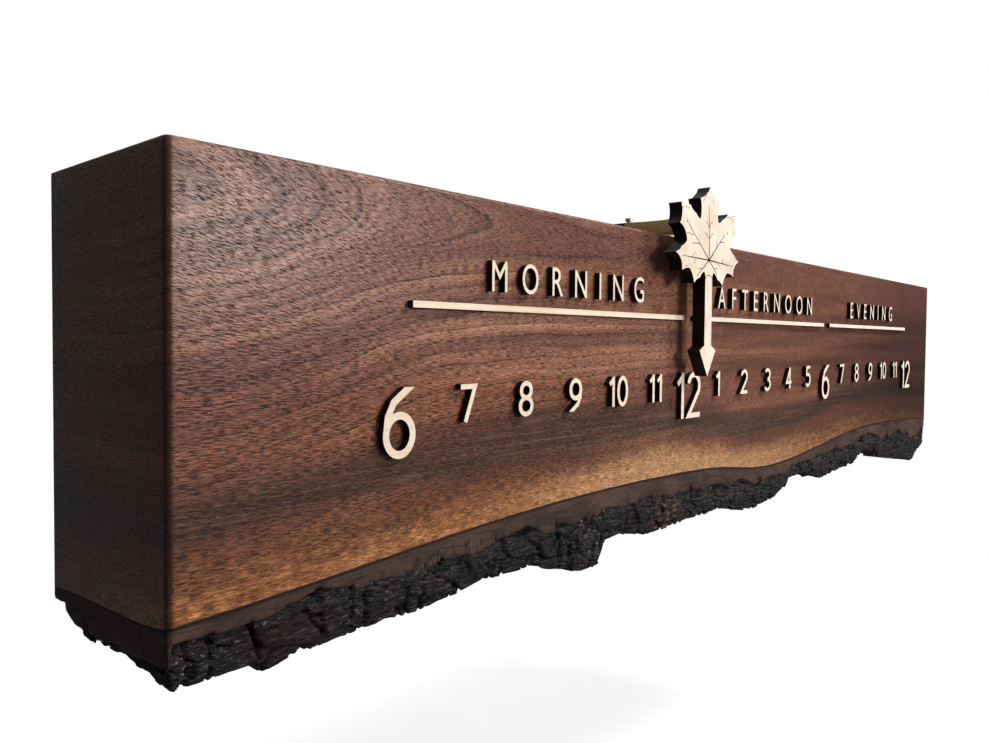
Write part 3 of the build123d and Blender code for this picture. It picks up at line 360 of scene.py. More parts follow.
def pale_floor():
    """Pale floor that keeps the soft shadow under the clock, and is white before it ends."""
    material, shader, place, (x, y, _) = finish("floor")
    tree = place.tree
    seen = rays(tree, "Camera", "Glossy", "Transmission")
    pale = ramp(noise(place, (30, 30, 30)),
                (0.3, (0.93, 0.93, 0.93, 1)), (0.7, (0.96, 0.96, 0.96, 1)))
    connect(shader, {"Base Color": blend(seen, (0.30, 0.30, 0.30, 1), pale), "Roughness": 0.9})
    far = calc("SQRT", x * x + y * y)
    glowing = seen * (0.6 + 0.4 * fade(far, 0.30, 1.0))
    strength = 1.0 - (1.0 - floor_seen) * rays(tree, "Glossy")
    glow = read(tree, "ShaderNodeEmission", {"Color": white, "Strength": strength})
    both = read(tree, "ShaderNodeMixShader", {0: glowing, 1: Value(shader.outputs[0]), 2: glow})
    connect(next(node for node in tree.nodes if node.type == "OUTPUT_MATERIAL"), {"Surface": both})
    corners = np.array([(-1, -1, 0), (1, -1, 0), (1, 1, 0), (-1, 1, 0)]) * floor_reach
    mesh = bpy.data.meshes.new("floor")
    mesh.from_pydata((corners + (0, 0, floor_height)).tolist(), [], [(0, 1, 2, 3)])
    mesh.materials.append(material)
    floor = new_object("floor", mesh)


pale_floor()
print("floor at", floor_height)

# %% [markdown]
# The live edge is the line where the wood ends and the bark begins. The solids already hold it,
# so it is read from them here: the lowest points of a board's outer face, in order along the
# board. Everything that follows the edge later, such as the sapwood's pale band and the bark's
# layers, asks this one function for its height.


# %% Live edge
# Places that differ by less than this, in metres, count as the same
close = 2e-5


def points_of(mesh):
    """Points of a mesh as one array, a row of x, y and z for each."""
    points = np.zeros(len(mesh.vertices) * 3)
    mesh.vertices.foreach_get("co", points)
    return points.reshape(-1, 3)


def lower_line(node, axis, level, along, below=None):
    """Points of a node on one plane: places along the board and heights, in order.

    Without a line to be below, they are the wood's live edge. With one, they are the points that
    lie well under it, which is the bark's lower edge.
    """
    points = points_of(nodes[node].data)
    points = points[(np.abs(points[:, axis] - level) < close) & (points[:, 2] < -0.04)]
    if below is not None:
        points = points[points[:, 2] < np.interp(points[:, along], *below) - 0.004]
    places = np.unique(np.round(points[:, along], 5))
    heights = [points[np.abs(points[:, along] - place) < close, 2].min() for place in places]
    return places, np.array(heights)


plank = 0.020
depth = -front
front_line = lower_line("front_panel", 1, front, 0)
left_line = lower_line("left_return", 0, -half, 1)
right_line = lower_line("right_return", 0, half, 1)
unfolded_places = np.concatenate([
    (-half - (left_line[0] - front))[::-1][:-1], front_line[0], (half + right_line[0] - front)[1:],
])
unfolded_heights = np.concatenate([left_line[1][::-1][:-1], front_line[1], right_line[1][1:]])


def edge_height(place):
    """Height of the live edge at places along the unfolded plank."""
    return np.interp(place, unfolded_places, unfolded_heights)


print("live edge from", unfolded_heights.min(), "to", unfolded_heights.max())

# %% [markdown]
# Walnut is drawn as a solid, not as a picture pasted on. The three boards share the coordinates
# of the unfolded plank, so the grain runs round each corner. A tree's rings are cylinders round
# its pith, so the ring number at a point is its distance from a line that runs along the plank.
# The line tapers, most at a swell near the left end, and that is what turns straight stripes into
# pointed arches there. Noise bends the rings, and they calm down towards the right.

# %% Walnut: plank, rings and fibres
pith_height, pith_depth = 0.062, 0.018
swell, swell_centre, swell_reach = 0.015, -0.385, 0.055
lean_rise, lean_centre, lean_reach = 0.020, -0.415, 0.090
slow_taper, ring_width, hair_share = 0.016, 0.0052, 0.29


def plank_axes(x, y, side):
    """Coordinates of the unfolded plank: along it, and into it from its outer face."""
    if side == 0:
        return x, y - front
    return side * (y - front + half), half - side * x


def ring_distance(grain, along, inward, up):
    """Distance from the pith, plus the taper, the swell and two sizes of noise."""
    rise, deep = up - pith_height, inward + pith_depth
    far = calc("SQRT", rise * rise + deep * deep)
    far = far + swell * calc("TANH", (along - swell_centre) / swell_reach) + slow_taper * along
    far = far + 0.010 * (noise(grain, (7, 9, 20)) - 0.5)
    return far + 0.0024 * (noise(grain, (34, 20, 90), 2.0, 0.6) - 0.5)


def ring_lines(far, along):
    """Dark line at the end of each ring, and thin hairs between the lines.

    The fraction of the distance over the width of a ring climbs through each ring and drops at
    its end, and a line is a band of it.
    """
    ring = calc("FRACT", far / ring_width)
    late = fade(ring, 0.35, 0.93) * fade(ring, 0.98, 0.94)
    line = 0.6 * (fade(ring, 0.80, 0.93) * fade(ring, 0.985, 0.955)) + 0.4 * late
    hair = calc("FRACT", far / (ring_width * hair_share))
    hair = fade(hair, 0.55, 0.85) * fade(hair, 1.0, 0.9)
    calm = 1.0 - 0.70 * fade(along, -0.28, 0.02)
    return line * calm, hair * calm


def dashes(along, inward, up):
    """Noise drawn out along the fibres, which lean with the rings near the left end."""
    lean = calc("TANH", (along - lean_centre) / lean_reach) * fade(up, -0.020, 0.040)
    fibre = join(along, inward, up + lean_rise * lean)
    coarse = noise(fibre, (290, 1400, 3000), 2.0, 0.7)
    fine = 0.5 + 1.45 * (noise(fibre, (230, 1400, 2500), 4.0, 0.75) - 0.5)
    low_down = calc("MAXIMUM", fade(up, 0.045, 0.0), fade(along, -0.34, -0.20))
    return coarse + low_down * (fine - coarse)


print("rings every", ring_width * 1000, "mm round a pith at height", pith_height)

# %% [markdown]
# Heartwood is warm brown, with broad bands of a darker and a paler brown that follow the rings.
# Towards the live edge comes the sapwood: a smoky streak of thin dark lines, a reddish seam, and
# then gold that follows the edge. The height above the edge is worked out in the shader by a
# curve through places along the plank, which costs one node.

# %% Walnut: heartwood and sapwood
gold_depth, smoke_low, smoke_high = 0.015, 0.024, 0.046


def heartwood(far, along, dash):
    """Brown bands, with the lines of the rings over them. The dashes break up the lines."""
    across = join(far, along, 0.0)
    heart = ramp(
        noise(across, (75, 2.2, 1), 4.0, 0.62),
        (0.30, linear(84, 49, 38)), (0.45, linear(113, 69, 53)),
        (0.57, linear(134, 86, 65)), (0.72, linear(160, 108, 82)),
    )
    line, hair = ring_lines(far, along)
    inked = line * fade(noise(across, (260, 5, 1)), 0.25, 0.55)
    inked = inked * (0.45 + 0.55 * fade(dash, 0.42, 0.54))
    heart = blend(0.90 * inked, heart, linear(40, 23, 19))
    return blend(0.24 * hair, heart, linear(56, 36, 30))


def above_edge(along, up):
    """Height above the live edge, from a curve through fifteen places along the plank."""
    low, high = float(unfolded_places[0]), float(unfolded_places[-1])
    floor, ceiling = float(unfolded_heights.min()), float(unfolded_heights.max())
    share = read(along.tree, "ShaderNodeMapRange",
                 {"Value": along, "From Min": low, "From Max": high})
    curve = put(along.tree, "ShaderNodeFloatCurve", {"Value": share})
    points = curve.mapping.curves[0].points
    for place in np.linspace(0, 1, 15):
        height = (edge_height(low + place * (high - low)) - floor) / (ceiling - floor)
        if 0 < place < 1:
            points.new(place, height)
        else:
            points[0 if place == 0 else -1].location = (place, height)
    curve.mapping.update()
    return up - (floor + (ceiling - floor) * Value(curve.outputs[0]))


def sapwood(heart, grain, along, up):
    """Heartwood's colour with smoke, seam and gold over it, and how golden each point is."""
    height = above_edge(along, up) + 0.022 * (noise(grain, (8, 9, 26), 3.0, 0.6) - 0.5)
    streaks = noise(grain, (9, 60, 520), 4.0, 0.65, 0.6)
    mottle = noise(grain, (120, 120, 260), 3.0, 0.65)
    smoke = fade(height, smoke_high + 0.006, smoke_high - 0.012)
    smoke = smoke * fade(height, smoke_low - 0.004, smoke_low + 0.006)
    colour = blend(0.66 * smoke, heart, linear(92, 69, 54))
    colour = blend(0.70 * (smoke * fade(streaks, 0.30, 0.60)), colour, linear(46, 32, 24))
    russet = ramp(mottle, (0.35, linear(97, 61, 42)), (0.65, linear(132, 87, 59)))
    colour = blend(0.85 * fade(height, smoke_low + 0.002, gold_depth), colour, russet)
    pale = ramp(
        0.45 * streaks + 0.55 * mottle,
        (0.38, linear(108, 66, 41)), (0.50, linear(152, 101, 62)), (0.64, linear(202, 148, 98)),
    )
    broad = fade(along, -0.36, -0.18) * fade(along, 0.16, -0.02)
    pale = blend(0.50 * broad, pale, linear(188, 144, 102))
    gold = fade(height - 0.006 * broad, gold_depth + 0.001, gold_depth - 0.013)
    fresh = fade(along, -0.530, -0.455) * (1.0 - 0.25 * fade(along, -0.05, 0.30))
    return blend(gold * (0.3 + 0.7 * fresh), colour, pale), gold


print("gold up to", gold_depth * 1000, "mm above the edge, smoke up to", smoke_high * 1000, "mm")

# %% [markdown]
# The plank isn't one brown from end to end. Each row of a small table is a region, given by
# smooth steps along and up the plank, and what the colour is multiplied by there. Some rows are
# wood tone, and some are painted light: painted shade towards the right end and on the left
# return, and a painted sheen at the top left corner. The pores go over every row. They are short
# dark dashes, with pale dashes of the same length between them, and only they are pressed into
# the surface: bumps over all the noise would scatter the window's image and wash the wood out.
# The eased round of each mitre carries a dark red strip of painted shade, with a dark hair of glue
# in its middle.

# %% Walnut: tones, painted light, pores and corners
corner_start, corner_end = -half - 0.0016, -half + 0.0004


def tones_and_painted_light(colour, along, up):
    """Colour multiplied in each region of the plank: wood tones, painted shade and a painted sheen.
    """
    on_front = fade(along, corner_start, corner_end)
    right = 0.42 * fade(along, -0.20, 0.20) + 0.58 * fade(along, 0.05, 0.36)
    streak = fade(along, -0.42, -0.30) * fade(along, -0.05, -0.16)
    tone_and_light_rows = (
        # Painted shade: darker towards the right end, where the light falls off, less so along the
        # top
        (calc("MINIMUM", right, 1.0) * (1.0 - 0.45 * fade(up, 0.02, 0.06)), (0.32, 0.27, 0.28)),
        # Painted shade: the last stretch of the right end darker still
        (fade(along, 0.20, 0.38), (0.72, 0.66, 0.66)),
        # A paler streak under the morning bar
        (streak * fade(up, -0.016, 0.0) * fade(up, 0.034, 0.018), (1.50, 1.68, 1.82)),
        # The left half a little lighter, and a painted sheen: its top corner greyed where the
        # window's reflection lies
        (fade(along, 0.14, -0.06) * on_front, (1.10, 1.14, 1.17)),
        (fade(along, -0.26, -0.40) * fade(up, 0.0, 0.055) * on_front, (1.10, 1.32, 1.54)),
        # Ruddy low down near the left corner
        (fade(up, 0.014, -0.012) * fade(along, -0.16, -0.34), (0.86, 0.74, 0.68)),
        # Painted shade: the left return darker, as it faces away from the light, and its rear half
        # darker still
        (fade(along, corner_end, corner_start), (0.54, 0.43, 0.36)),
        (fade(along, -0.480, -0.560), (0.62, 0.60, 0.58)),
    )
    for share, tint in tone_and_light_rows:
        colour = blend(share, colour, (*tint, 1.0), "MULTIPLY")
    return colour


def corner_shade_and_glue(colour, along, inward):
    """Painted shade as a dark strip on the round of each mitre, with a dark hair of glue in the
    middle of it.
    """
    gap = calc("ABSOLUTE", calc("ABSOLUTE", along) - half)
    outer = fade(inward, 0.003, 0.002)
    # Painted shade on the eased round of the mitre
    colour = blend(0.75 * (fade(gap, 0.0030, 0.0014) * outer), colour, linear(38, 18, 14))
    # The dark hair of glue in the joint
    return blend(0.8 * (fade(gap, 0.0009, 0.0001) * outer), colour, linear(14, 8, 6))


def walnut(name, side):
    """Oiled walnut of the front board (side 0) or of the left or right return (-1 or 1)."""
    material, shader, _, (x, y, up) = finish(name)
    along, inward = plank_axes(x, y, side)
    grain = join(along, inward, up)
    dash = dashes(along, inward, up)
    colour = heartwood(ring_distance(grain, along, inward, up), along, dash)
    colour, gold = sapwood(colour, grain, along, up)
    colour = tones_and_painted_light(colour, along, up)
    pore = fade(dash, 0.515, 0.575) * fade(noise(grain, (50, 60, 200)), 0.20, 0.52)
    strength = 0.90 - 0.38 * fade(along, -0.30, 0.2) - 0.32 * gold
    colour = blend(pore * strength, colour, linear(26, 14, 11))
    colour = blend(0.50 * fade(dash, 0.46, 0.36), colour, (1.8, 1.72, 1.68, 1), "MULTIPLY")
    # The top edge is duller than the front, and sanded flat
    below_top = fade(up, top - 0.0006, top - 0.0016)
    connect(shader, {
        "Base Color": corner_shade_and_glue(colour, along, inward),
        "Roughness": 0.31 + 0.30 * pore + 0.30 * (1.0 - below_top),
        "Specular IOR Level": 0.26,
    })
    relief(shader, (1.0 - (0.7 * pore + 0.3 * dash)) * below_top, 0.00014)
    return material


walnuts = {side: walnut(name, side) for side, name in
           ((0, "walnut_front"), (-1, "walnut_left"), (1, "walnut_right"))}
print("walnut for", len(walnuts), "boards")

# %% [markdown]
# Boards, bark, screws and belt are long pieces whose section changes on the way. Each is worked
# out with numpy as a grid, rings of points one after another along the piece, and one function
# turns any grid into a mesh. A curve with a bevel would need no points at all, but it can't
# change its section from place to place, or carry values at its points for the finish to read.


# %% A skin from a grid of points
def skin(name, grid, material, ends=True, smooth=True, values=None):
    """Mesh from rings of points, an array of ring, point and axis. Each ring closes on itself.

    An array with one more axis in front holds several pieces of one kind.
    """
    grid = grid.reshape(-1, *grid.shape[-3:])
    index = np.arange(grid[..., 0].size).reshape(grid.shape[:-1])
    ahead = np.roll(index, -1, axis=2)
    faces = np.stack([index[:, :-1], ahead[:, :-1], ahead[:, 1:], index[:, 1:]], axis=-1)
    faces = faces.reshape(-1, 4).tolist()
    if ends:
        faces += [ring[0][::-1].tolist() for ring in index] + [ring[-1].tolist() for ring in index]
    mesh = bpy.data.meshes.new(name)
    mesh.from_pydata(grid.reshape(-1, 3).tolist(), [], faces)
    for label, numbers in (values or {}).items():
        holder = mesh.attributes.new(label, "FLOAT", "POINT")
        holder.data.foreach_set("value", np.asarray(numbers, np.float32).ravel())
    work = bmesh.new()
    work.from_mesh(mesh)
    bmesh.ops.remove_doubles(work, verts=work.verts, dist=1e-6)
    bmesh.ops.recalc_face_normals(work, faces=work.faces)
    work.to_mesh(mesh)
    work.free()
    mesh.materials.append(material)
    mesh.shade_smooth() if smooth else mesh.shade_flat()
    return new_object(name, mesh)


def crease(piece, degrees=35):
    """Mark sharp edges by angle, so that flat faces shade flat beside round ones."""
    piece.data.set_sharp_from_angle(angle=math.radians(degrees))


print("skin ready")

# %% [markdown]
# The mitred corners of the real case were eased after gluing, so the outer edges are small
# quarter rounds that two boards share. A bevel on each board would leave a notch along the
# joint. Instead each board is a grid: one parameter runs along the board from mitre to mitre,
# the other runs round its section. Near a mitre the section moves back along the quarter round,
# until it meets the other board's half of the same round.

# %% Boards: section and places
corner_round, top_round = 0.0024, 0.0010
rabbet, board_back, board_half = 0.010, 0.012, 0.065


def eased(distance):
    """How far the outer face lies behind its plane, at a distance from the corner.

    It follows a quarter circle: the radius, less the root of its square less the square of
    what is left from the distance to the radius.
    """
    inside = np.clip(corner_round - distance, 0, None)
    return corner_round - np.sqrt(np.clip(corner_round ** 2 - inside ** 2, 0, None))


def board_section(rabbeted):
    """Section of a board: depth, height, and 1 where the height is counted from the live edge.

    Both top edges are quarter circles. A 2 marks the points that the rabbet moves.
    """
    turn = np.linspace(0, math.pi / 2, 5)
    outer = [(0, 0.0, 1), *[(0, rise, 1) for rise in (0.004, 0.03)], (0, top - 0.03, 0)]
    upper = [(top_round * (1 - math.cos(a)), top - top_round * (1 - math.sin(a)), 0) for a in turn]
    rear = [(plank - d, z, 0) for d, z, _ in reversed(upper)]
    points = outer + upper + rear
    if rabbeted:
        points += [(plank, board_half, 0), (plank, board_half, 2), (plank, -board_half, 2),
                   (plank, -board_half, 0)]
    points += [(plank, 0.0, 1)]
    return np.array(points)


def stations(length, mitres, step):
    """Places along a board as shares of its length, close together round a mitred corner.

    Six places, evenly apart, cover the round, and places about a step apart cover the rest.
    """
    start = corner_round * (1 - math.sqrt(0.5))
    near = np.linspace(start, corner_round, 6)
    shares = (near - eased(near)) / (length - eased(near) * sum(mitres))
    count = max(24, round(length / step))
    middle = np.linspace(corner_round, length - corner_round, count)[1:-1] / length
    return np.concatenate([
        shares if mitres[0] else [0.0], middle, (1 - shares[::-1]) if mitres[1] else [1.0],
    ])


def lay(shares, length, mitres, deep):
    """Places along a board, and depths, for rings whose corners are rounded and mitred.

    A ring near a mitre lies back by what the round takes off at its distance from the corner,
    and that distance grows by as much. Repeating the sum settles both. The mitre itself cuts at
    45 degrees, so the place along the board moves with the depth.
    """
    start = corner_round * (1 - math.sqrt(0.5))
    back = np.zeros(len(shares))
    for mitre, reach in ((mitres[0], shares * length), (mitres[1], (1 - shares) * length)):
        if mitre:
            guess = reach.copy()
            for _ in range(30):
                guess = reach + eased(np.maximum(guess, start))
            back = np.maximum(back, np.where(guess < corner_round, eased(guess), 0))
    deep = back[:, None] + deep * (1 - back[:, None] / plank)
    left, right = deep * mitres[0], length - deep * mitres[1]
    return left + shares[:, None] * (right - left), deep


print("a board's section has", len(board_section(True)), "points")

# %% [markdown]
# A board's grid is first worked out flat: the distance along it, the depth behind its outer face
# and the height. Points along the bottom take their height from the live edge. Each return also
# has a rabbet inside, near the wall, in which the back board sits. Only the last step, a
# function for each board, seats the flat grid in its place on the case.


# %% Boards: grids
def board_grid(length, mitres, line, rabbeted=False):
    """Rings along a board, in (along, behind the outer face, up).

    Each ring is the section, with the live edge's height added to the points tied to it.
    """
    section = board_section(rabbeted)
    shares = stations(length, mitres, 0.005)
    if rabbeted:
        step = 1 - board_back / length
        shares = np.sort(np.concatenate([shares, [step, step]]))
    along, deep = lay(shares, length, mitres, np.tile(section[:, 0], (len(shares), 1)))
    if rabbeted:
        late = np.zeros(len(shares), bool)
        late[np.searchsorted(shares, step) + 1:] = True
        deep = np.where((section[None, :, 2] == 2) & late[:, None], plank - rabbet, deep)
    tied = section[None, :, 2] == 1
    return np.stack([along, deep, section[None, :, 1] + np.where(tied, line(along), 0)], axis=-1)


def to_front(grid):
    """Front board: along is X from the left corner, and behind is +Y."""
    return np.stack([grid[..., 0] - half, grid[..., 1] + front, grid[..., 2]], axis=-1)


def to_side(side):
    """Return on one side: along is Y from the front corner, and behind is towards the middle."""
    return lambda grid: np.stack([
        side * (half - grid[..., 1]), grid[..., 0] + front, grid[..., 2],
    ], axis=-1)


board_rows = (
    ("front_board", "front_panel", 2 * half, (1, 1), to_front, 0, lambda s: edge_height(s - half)),
    ("left_board", "left_return", depth, (1, 0), to_side(-1), -1,
     lambda s: edge_height(-half - s)),
    ("right_board", "right_return", depth, (1, 0), to_side(1), 1,
     lambda s: edge_height(half + s)),
)
for name, node, length, mitres, seat, side, line in board_rows:
    grid = seat(board_grid(length, mitres, line, rabbeted=side != 0))
    board = skin(name, grid, walnuts[side])
    crease(board)
    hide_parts(node)
    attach(board, "case")
    print(name, len(board.data.polygons), "faces")

# %% [markdown]
# Bark is what is left when the sawmill keeps the tree's edge. Its upper part is sawn flush with
# the plank and shows smooth grey-brown layers. Below that the outer bark is as the tree grew it:
# corky plates, split along the trunk and across it, almost black. The form is again a grid, one
# parameter along the edge and one round the section. Every point is then pushed inwards, along
# the section's own normal, by a sum of lumps, layered ridges, cracks between plates, and grit.


# %% Noise on a grid
def cloud(u, v, seed):
    """Smooth random surface from 0 to 1: a random value at each whole u and v, eased between."""
    table = np.random.default_rng(seed).random((256, 256))
    i, j = np.floor(u).astype(int), np.floor(v).astype(int)
    a, b = u - i, v - j
    a, b = a * a * (3 - 2 * a), b * b * (3 - 2 * b)
    near = table[i & 255, j & 255] * (1 - a) + table[(i + 1) & 255, j & 255] * a
    far = table[i & 255, (j + 1) & 255] * (1 - a) + table[(i + 1) & 255, (j + 1) & 255] * a
    return near * (1 - b) + far * b


def layers_of(u, v, seed, octaves=3):
    """Sum of clouds, each twice as fine and half as strong as the one before, from 0 to 1."""
    total = sum(cloud(u * 2 ** n, v * 2 ** n, seed + n) / 2 ** n for n in range(octaves))
    return total / sum(1 / 2 ** n for n in range(octaves))


def plates(u, v, seed):
    """Distance to the nearest seam between irregular cells, and a random value for each cell.

    Each cell has its middle at a random place. The distance is that to the second nearest
    middle, less that to the nearest.
    """
    table = np.random.default_rng(seed).random((3, 256, 256))
    i, j = np.floor(u).astype(int), np.floor(v).astype(int)
    nearest = np.full(u.shape, 9.0)
    second = np.full(u.shape, 9.0)
    value = np.zeros(u.shape)
    for di in (-1, 0, 1):
        for dj in (-1, 0, 1):
            p, q = (i + di) & 255, (j + dj) & 255
            far = np.hypot(i + di + table[0, p, q] - u, j + dj + table[1, p, q] - v)
            closer = far < nearest
            second = np.where(closer, nearest, np.minimum(second, far))
            value = np.where(closer, table[2, p, q], value)
            nearest = np.minimum(nearest, far)
    return second - nearest, value


def step_up(value, start, end):
    """Smooth step from 0 at the start to 1 at the end: 3 s squared less 2 s cubed."""
    share = np.clip((value - start) / (end - start), 0, 1)
    return share * share * (3 - 2 * share)


print("noise, plates and steps ready")

# %% [markdown]
# A ring of the bark's grid starts at the live edge and goes straight down the sawn part. It then
# turns round under the bark, comes up the rear face and runs forward along the joint with the
# wood. The heights of the live edge and of the bark's lower edge change along the board.

# %% Bark: section
bark_depth = 0.005
# Points in the sawn part, round the face and underside, up the rear, and along the joint
bark_profile = (14, 46, 12, 6)
round_share, sawn_height = 0.62, 0.5


def bark_section(wood, bark):
    """Rings of depth and height from the live edge down, round the bark's face, and up behind.

    Round the face the height goes down with the sine of a quarter turn, and the depth grows
    with one less its cosine. Under the bark the depth then grows evenly to the rear.
    """
    band, face, behind, over = bark_profile
    sawn = wood + sawn_height * (bark - wood)
    rows = []
    for share in np.linspace(0, 1, band, endpoint=False):
        rows.append((np.zeros_like(wood), wood + share * (sawn - wood)))
    for share in np.linspace(0, 1, face, endpoint=False):
        turn = np.clip(share / round_share, 0, 1) * math.pi / 2
        under = max(0, share - round_share) / (1 - round_share)
        deep = bark_depth * (1 - math.cos(turn)) + under * (plank - bark_depth)
        rows.append((np.full_like(wood, deep), sawn + math.sin(turn) * (bark - sawn)))
    for share in np.linspace(0, 1, behind, endpoint=False):
        rows.append((np.full_like(wood, plank), bark + share * (wood - bark)))
    for share in np.linspace(0, 1, over, endpoint=False):
        rows.append((np.full_like(wood, plank * (1 - share)), wood))
    deep, up = np.transpose(rows, (1, 2, 0))
    return deep, up


print("bark is", bark_depth * 1000, "mm deep at its lower edge")

# %% [markdown]
# The wear could be sculpted, or left to a displacement texture. Here it is worked out for each
# point, because the finish then reads the very same values, and paints every crack with shade
# that is black where it is deep. Its depths are in metres.

# %% Bark: wear
lump_depth, layer_depth, tone_depth = 0.0016, 0.0014, 0.0021
crack_depth, split_depth, crept_depth = 0.0026, 0.0028, 0.0012
flush_depth, grit_depth, contour_depth = 0.0013, 0.0005, 0.00018
layer_height = 0.0026


def bark_wear(along, round_way, down, seed, sawn_share):
    """How far each point is pushed in, and how much of it is rough, from 0 to 1.

    The cork is a pile of thin layers, cut into blocks. A saw profile up the section gives the
    layers, cells wider than high give blocks that stand at different depths, and thin gaps
    between the cells and across them are the cracks. A few cracks creep up into the sawn part,
    whose share of the height is given.
    """
    wander = 0.34 * (layers_of(along / 0.030, round_way / 0.030, seed) - 0.5)
    lower = 0.12 * (1 - step_up(along, 0.02, 0.16))
    rough = step_up(down + wander + lower, sawn_share, sawn_share + 0.04)
    lumps = layers_of(along / 0.034, round_way / 0.014, seed + 11)
    bend = layers_of(along / 0.028, round_way / 0.012, seed + 21)
    layer = (round_way / layer_height + 3.2 * bend) % 1.0
    sway = cloud(along / 0.02, round_way / 0.02, 5)
    seams, tone = plates(
        along / 0.021 + 0.5 * lumps, round_way / 0.0085 + 0.7 * sway, seed + 31,
    )
    across = np.abs(layers_of(along / 0.013, round_way / 0.070, seed + 41) - 0.5)
    grit = layers_of(along / 0.0024, round_way / 0.0016, seed + 51, 2)
    crack = np.exp(-((seams / 0.07) ** 2))
    split = np.exp(-((across / 0.016) ** 2))
    push = lump_depth * step_up(lumps, 0.35, 0.75) + layer_depth * layer ** 2
    push = push + crack_depth * crack + split_depth * split + tone_depth * tone
    push = np.maximum(0, push - flush_depth) + grit_depth * grit
    faint = contour_depth * step_up(np.abs(bend - 0.5), 0.01, 0.05) * step_up(down, 0.04, 0.12)
    crept = crept_depth * split * step_up(down, 0.5 * sawn_share, sawn_share)
    return rough * push + (1 - rough) * (faint + crept), rough


print("cracks up to", round((crack_depth + split_depth) * 1000, 1), "mm deep")

# %% [markdown]
# The grid puts the wear on the section. A point is pushed along the section's own normal, so the
# face wears back and the underside wears upwards. The push fades out behind and along the joint,
# where nothing is seen and the strip has to meet the wood.


# %% Bark: grid
def bark_grid(length, mitres, wood_line, bark_line, step, seed, sawn_share):
    """Rings of a bark strip in (along, behind, up), and the values that its finish reads.

    The section's slope, turned by a quarter, points inwards. Each point moves that way by its
    wear times a weight, which falls from 1 to 0 up the rear.
    """
    shares = stations(length, mitres, step)
    flat = shares * length
    deep, up = bark_section(wood_line(flat), bark_line(flat))
    along, deep = lay(shares, length, mitres, deep)
    wood, bark = wood_line(along), bark_line(along)
    first_wood, first_bark = wood_line(flat)[:, None], bark_line(flat)[:, None]
    share = (first_wood - up) / (first_wood - first_bark)
    up = wood - share * (wood - bark)
    steps = np.hypot(np.diff(deep, axis=1), np.diff(up, axis=1))
    round_way = np.concatenate([np.zeros((len(shares), 1)), np.cumsum(steps, axis=1)], axis=1)
    push, rough = bark_wear(along, round_way, share, seed, sawn_share)
    band, face, behind, over = bark_profile
    weight = np.ones(deep.shape[1])
    weight[band + face:] = np.linspace(1, 0, behind + over) ** 3
    weight[0] = 0
    push = push * weight
    slope_deep, slope_up = np.gradient(deep, axis=1), np.gradient(up, axis=1)
    size = np.maximum(np.hypot(slope_deep, slope_up), 1e-9)
    inward_deep, inward_up = -slope_up / size, slope_deep / size
    deep = np.clip(deep + push * inward_deep, 0, plank)
    up = up + push * inward_up
    return np.stack([along, deep, up], axis=-1), push, rough


print("rings of", sum(bark_profile), "points")

# %% [markdown]
# The bark's grid also gives its finish three values at each point: how rough it is, how far it
# was pushed in, and how far below the live edge it lies. Where it was sawn it is grey-brown, with
# contours where the saw crossed its layers. Where it is rough it is black cork, with painted shade
# darkest in the cracks, smoother spots of sealer painted with pale glints, and one rusty patch
# where a plate has flaked away. The bark of the left return is painted darker as shade.

# %% Bark finish
flake_place = (-0.137, front, -0.100)


def sawn_bark(place, x, band, push):
    """Grey-brown layers with contours and fibres, upright checks, and painted shade in the cracks
    and on the left return.
    """
    colour = ramp(noise(place, (40, 40, 90), 3.0, 0.6),
                  (0.32, linear(48, 35, 31)), (0.66, linear(76, 57, 50)))
    contour = calc("FRACT", 5.0 * noise(place, (22, 22, 60)) + 4.0 * band)
    contour = fade(contour, 0.72, 0.88) * fade(contour, 1.0, 0.92)
    colour = blend(0.55 * contour, colour, linear(36, 28, 26))
    fibres = noise(place, (60, 60, 1500), 3.0, 0.6)
    colour = blend(0.35 * fade(fibres, 0.5, 0.7), colour, linear(92, 74, 66))
    upright = calc("ABSOLUTE", noise(place, (150, 150, 26), 3.0, 0.6) - 0.5)
    checks = fade(upright, 0.012, 0.004) * fade(noise(place, (38, 38, 38), 1.0), 0.50, 0.62)
    colour = blend(0.9 * (checks * fade(band, 0.12, 0.30)), colour, linear(10, 7, 6))
    # Painted shade: darker the deeper the point lies in a crack
    colour = blend(fade(push, 0.0003, 0.0009), colour, linear(10, 7, 6))
    # Painted shade: the bark of the left return darker, as it faces away from the light
    left = fade(x, -half + 0.0020, -half + 0.0002)
    colour = blend(left, colour, (0.42, 0.42, 0.42, 1), "MULTIPLY")
    return blend(fade(band, 0.10, 0.03), colour, linear(18, 12, 10))


def cork(place, push, grit, sealer_gloss_and_painted_glint):
    """Black cork: grit, warmer patches, painted shade in the cracks, the flaked patch, and painted
    glints.
    """
    colour = ramp(
        grit, (0.34, linear(8, 8, 8)), (0.52, linear(30, 27, 27)), (0.68, linear(80, 73, 71)),
    )
    warm = fade(noise(place, (30, 30, 50)), 0.50, 0.66)
    colour = blend(0.5 * warm, colour, linear(34, 23, 19))
    # Painted shade: black where a crack is deep
    colour = blend(fade(push, 0.0024, 0.0048), colour, linear(3, 3, 3))
    spot = read(place.tree, "ShaderNodeVectorMath", {0: place, 1: flake_place},
                output="Value", operation="DISTANCE")
    flaked = fade(spot, 0.022, 0.008) * fade(noise(place, (160, 160, 300), 3.0, 0.6), 0.52, 0.62)
    colour = blend(0.8 * flaked, colour, linear(132, 82, 60))
    # Painted highlight: pale glints on the smoother spots of sealer
    return blend(0.75 * sealer_gloss_and_painted_glint, colour, linear(128, 120, 116))


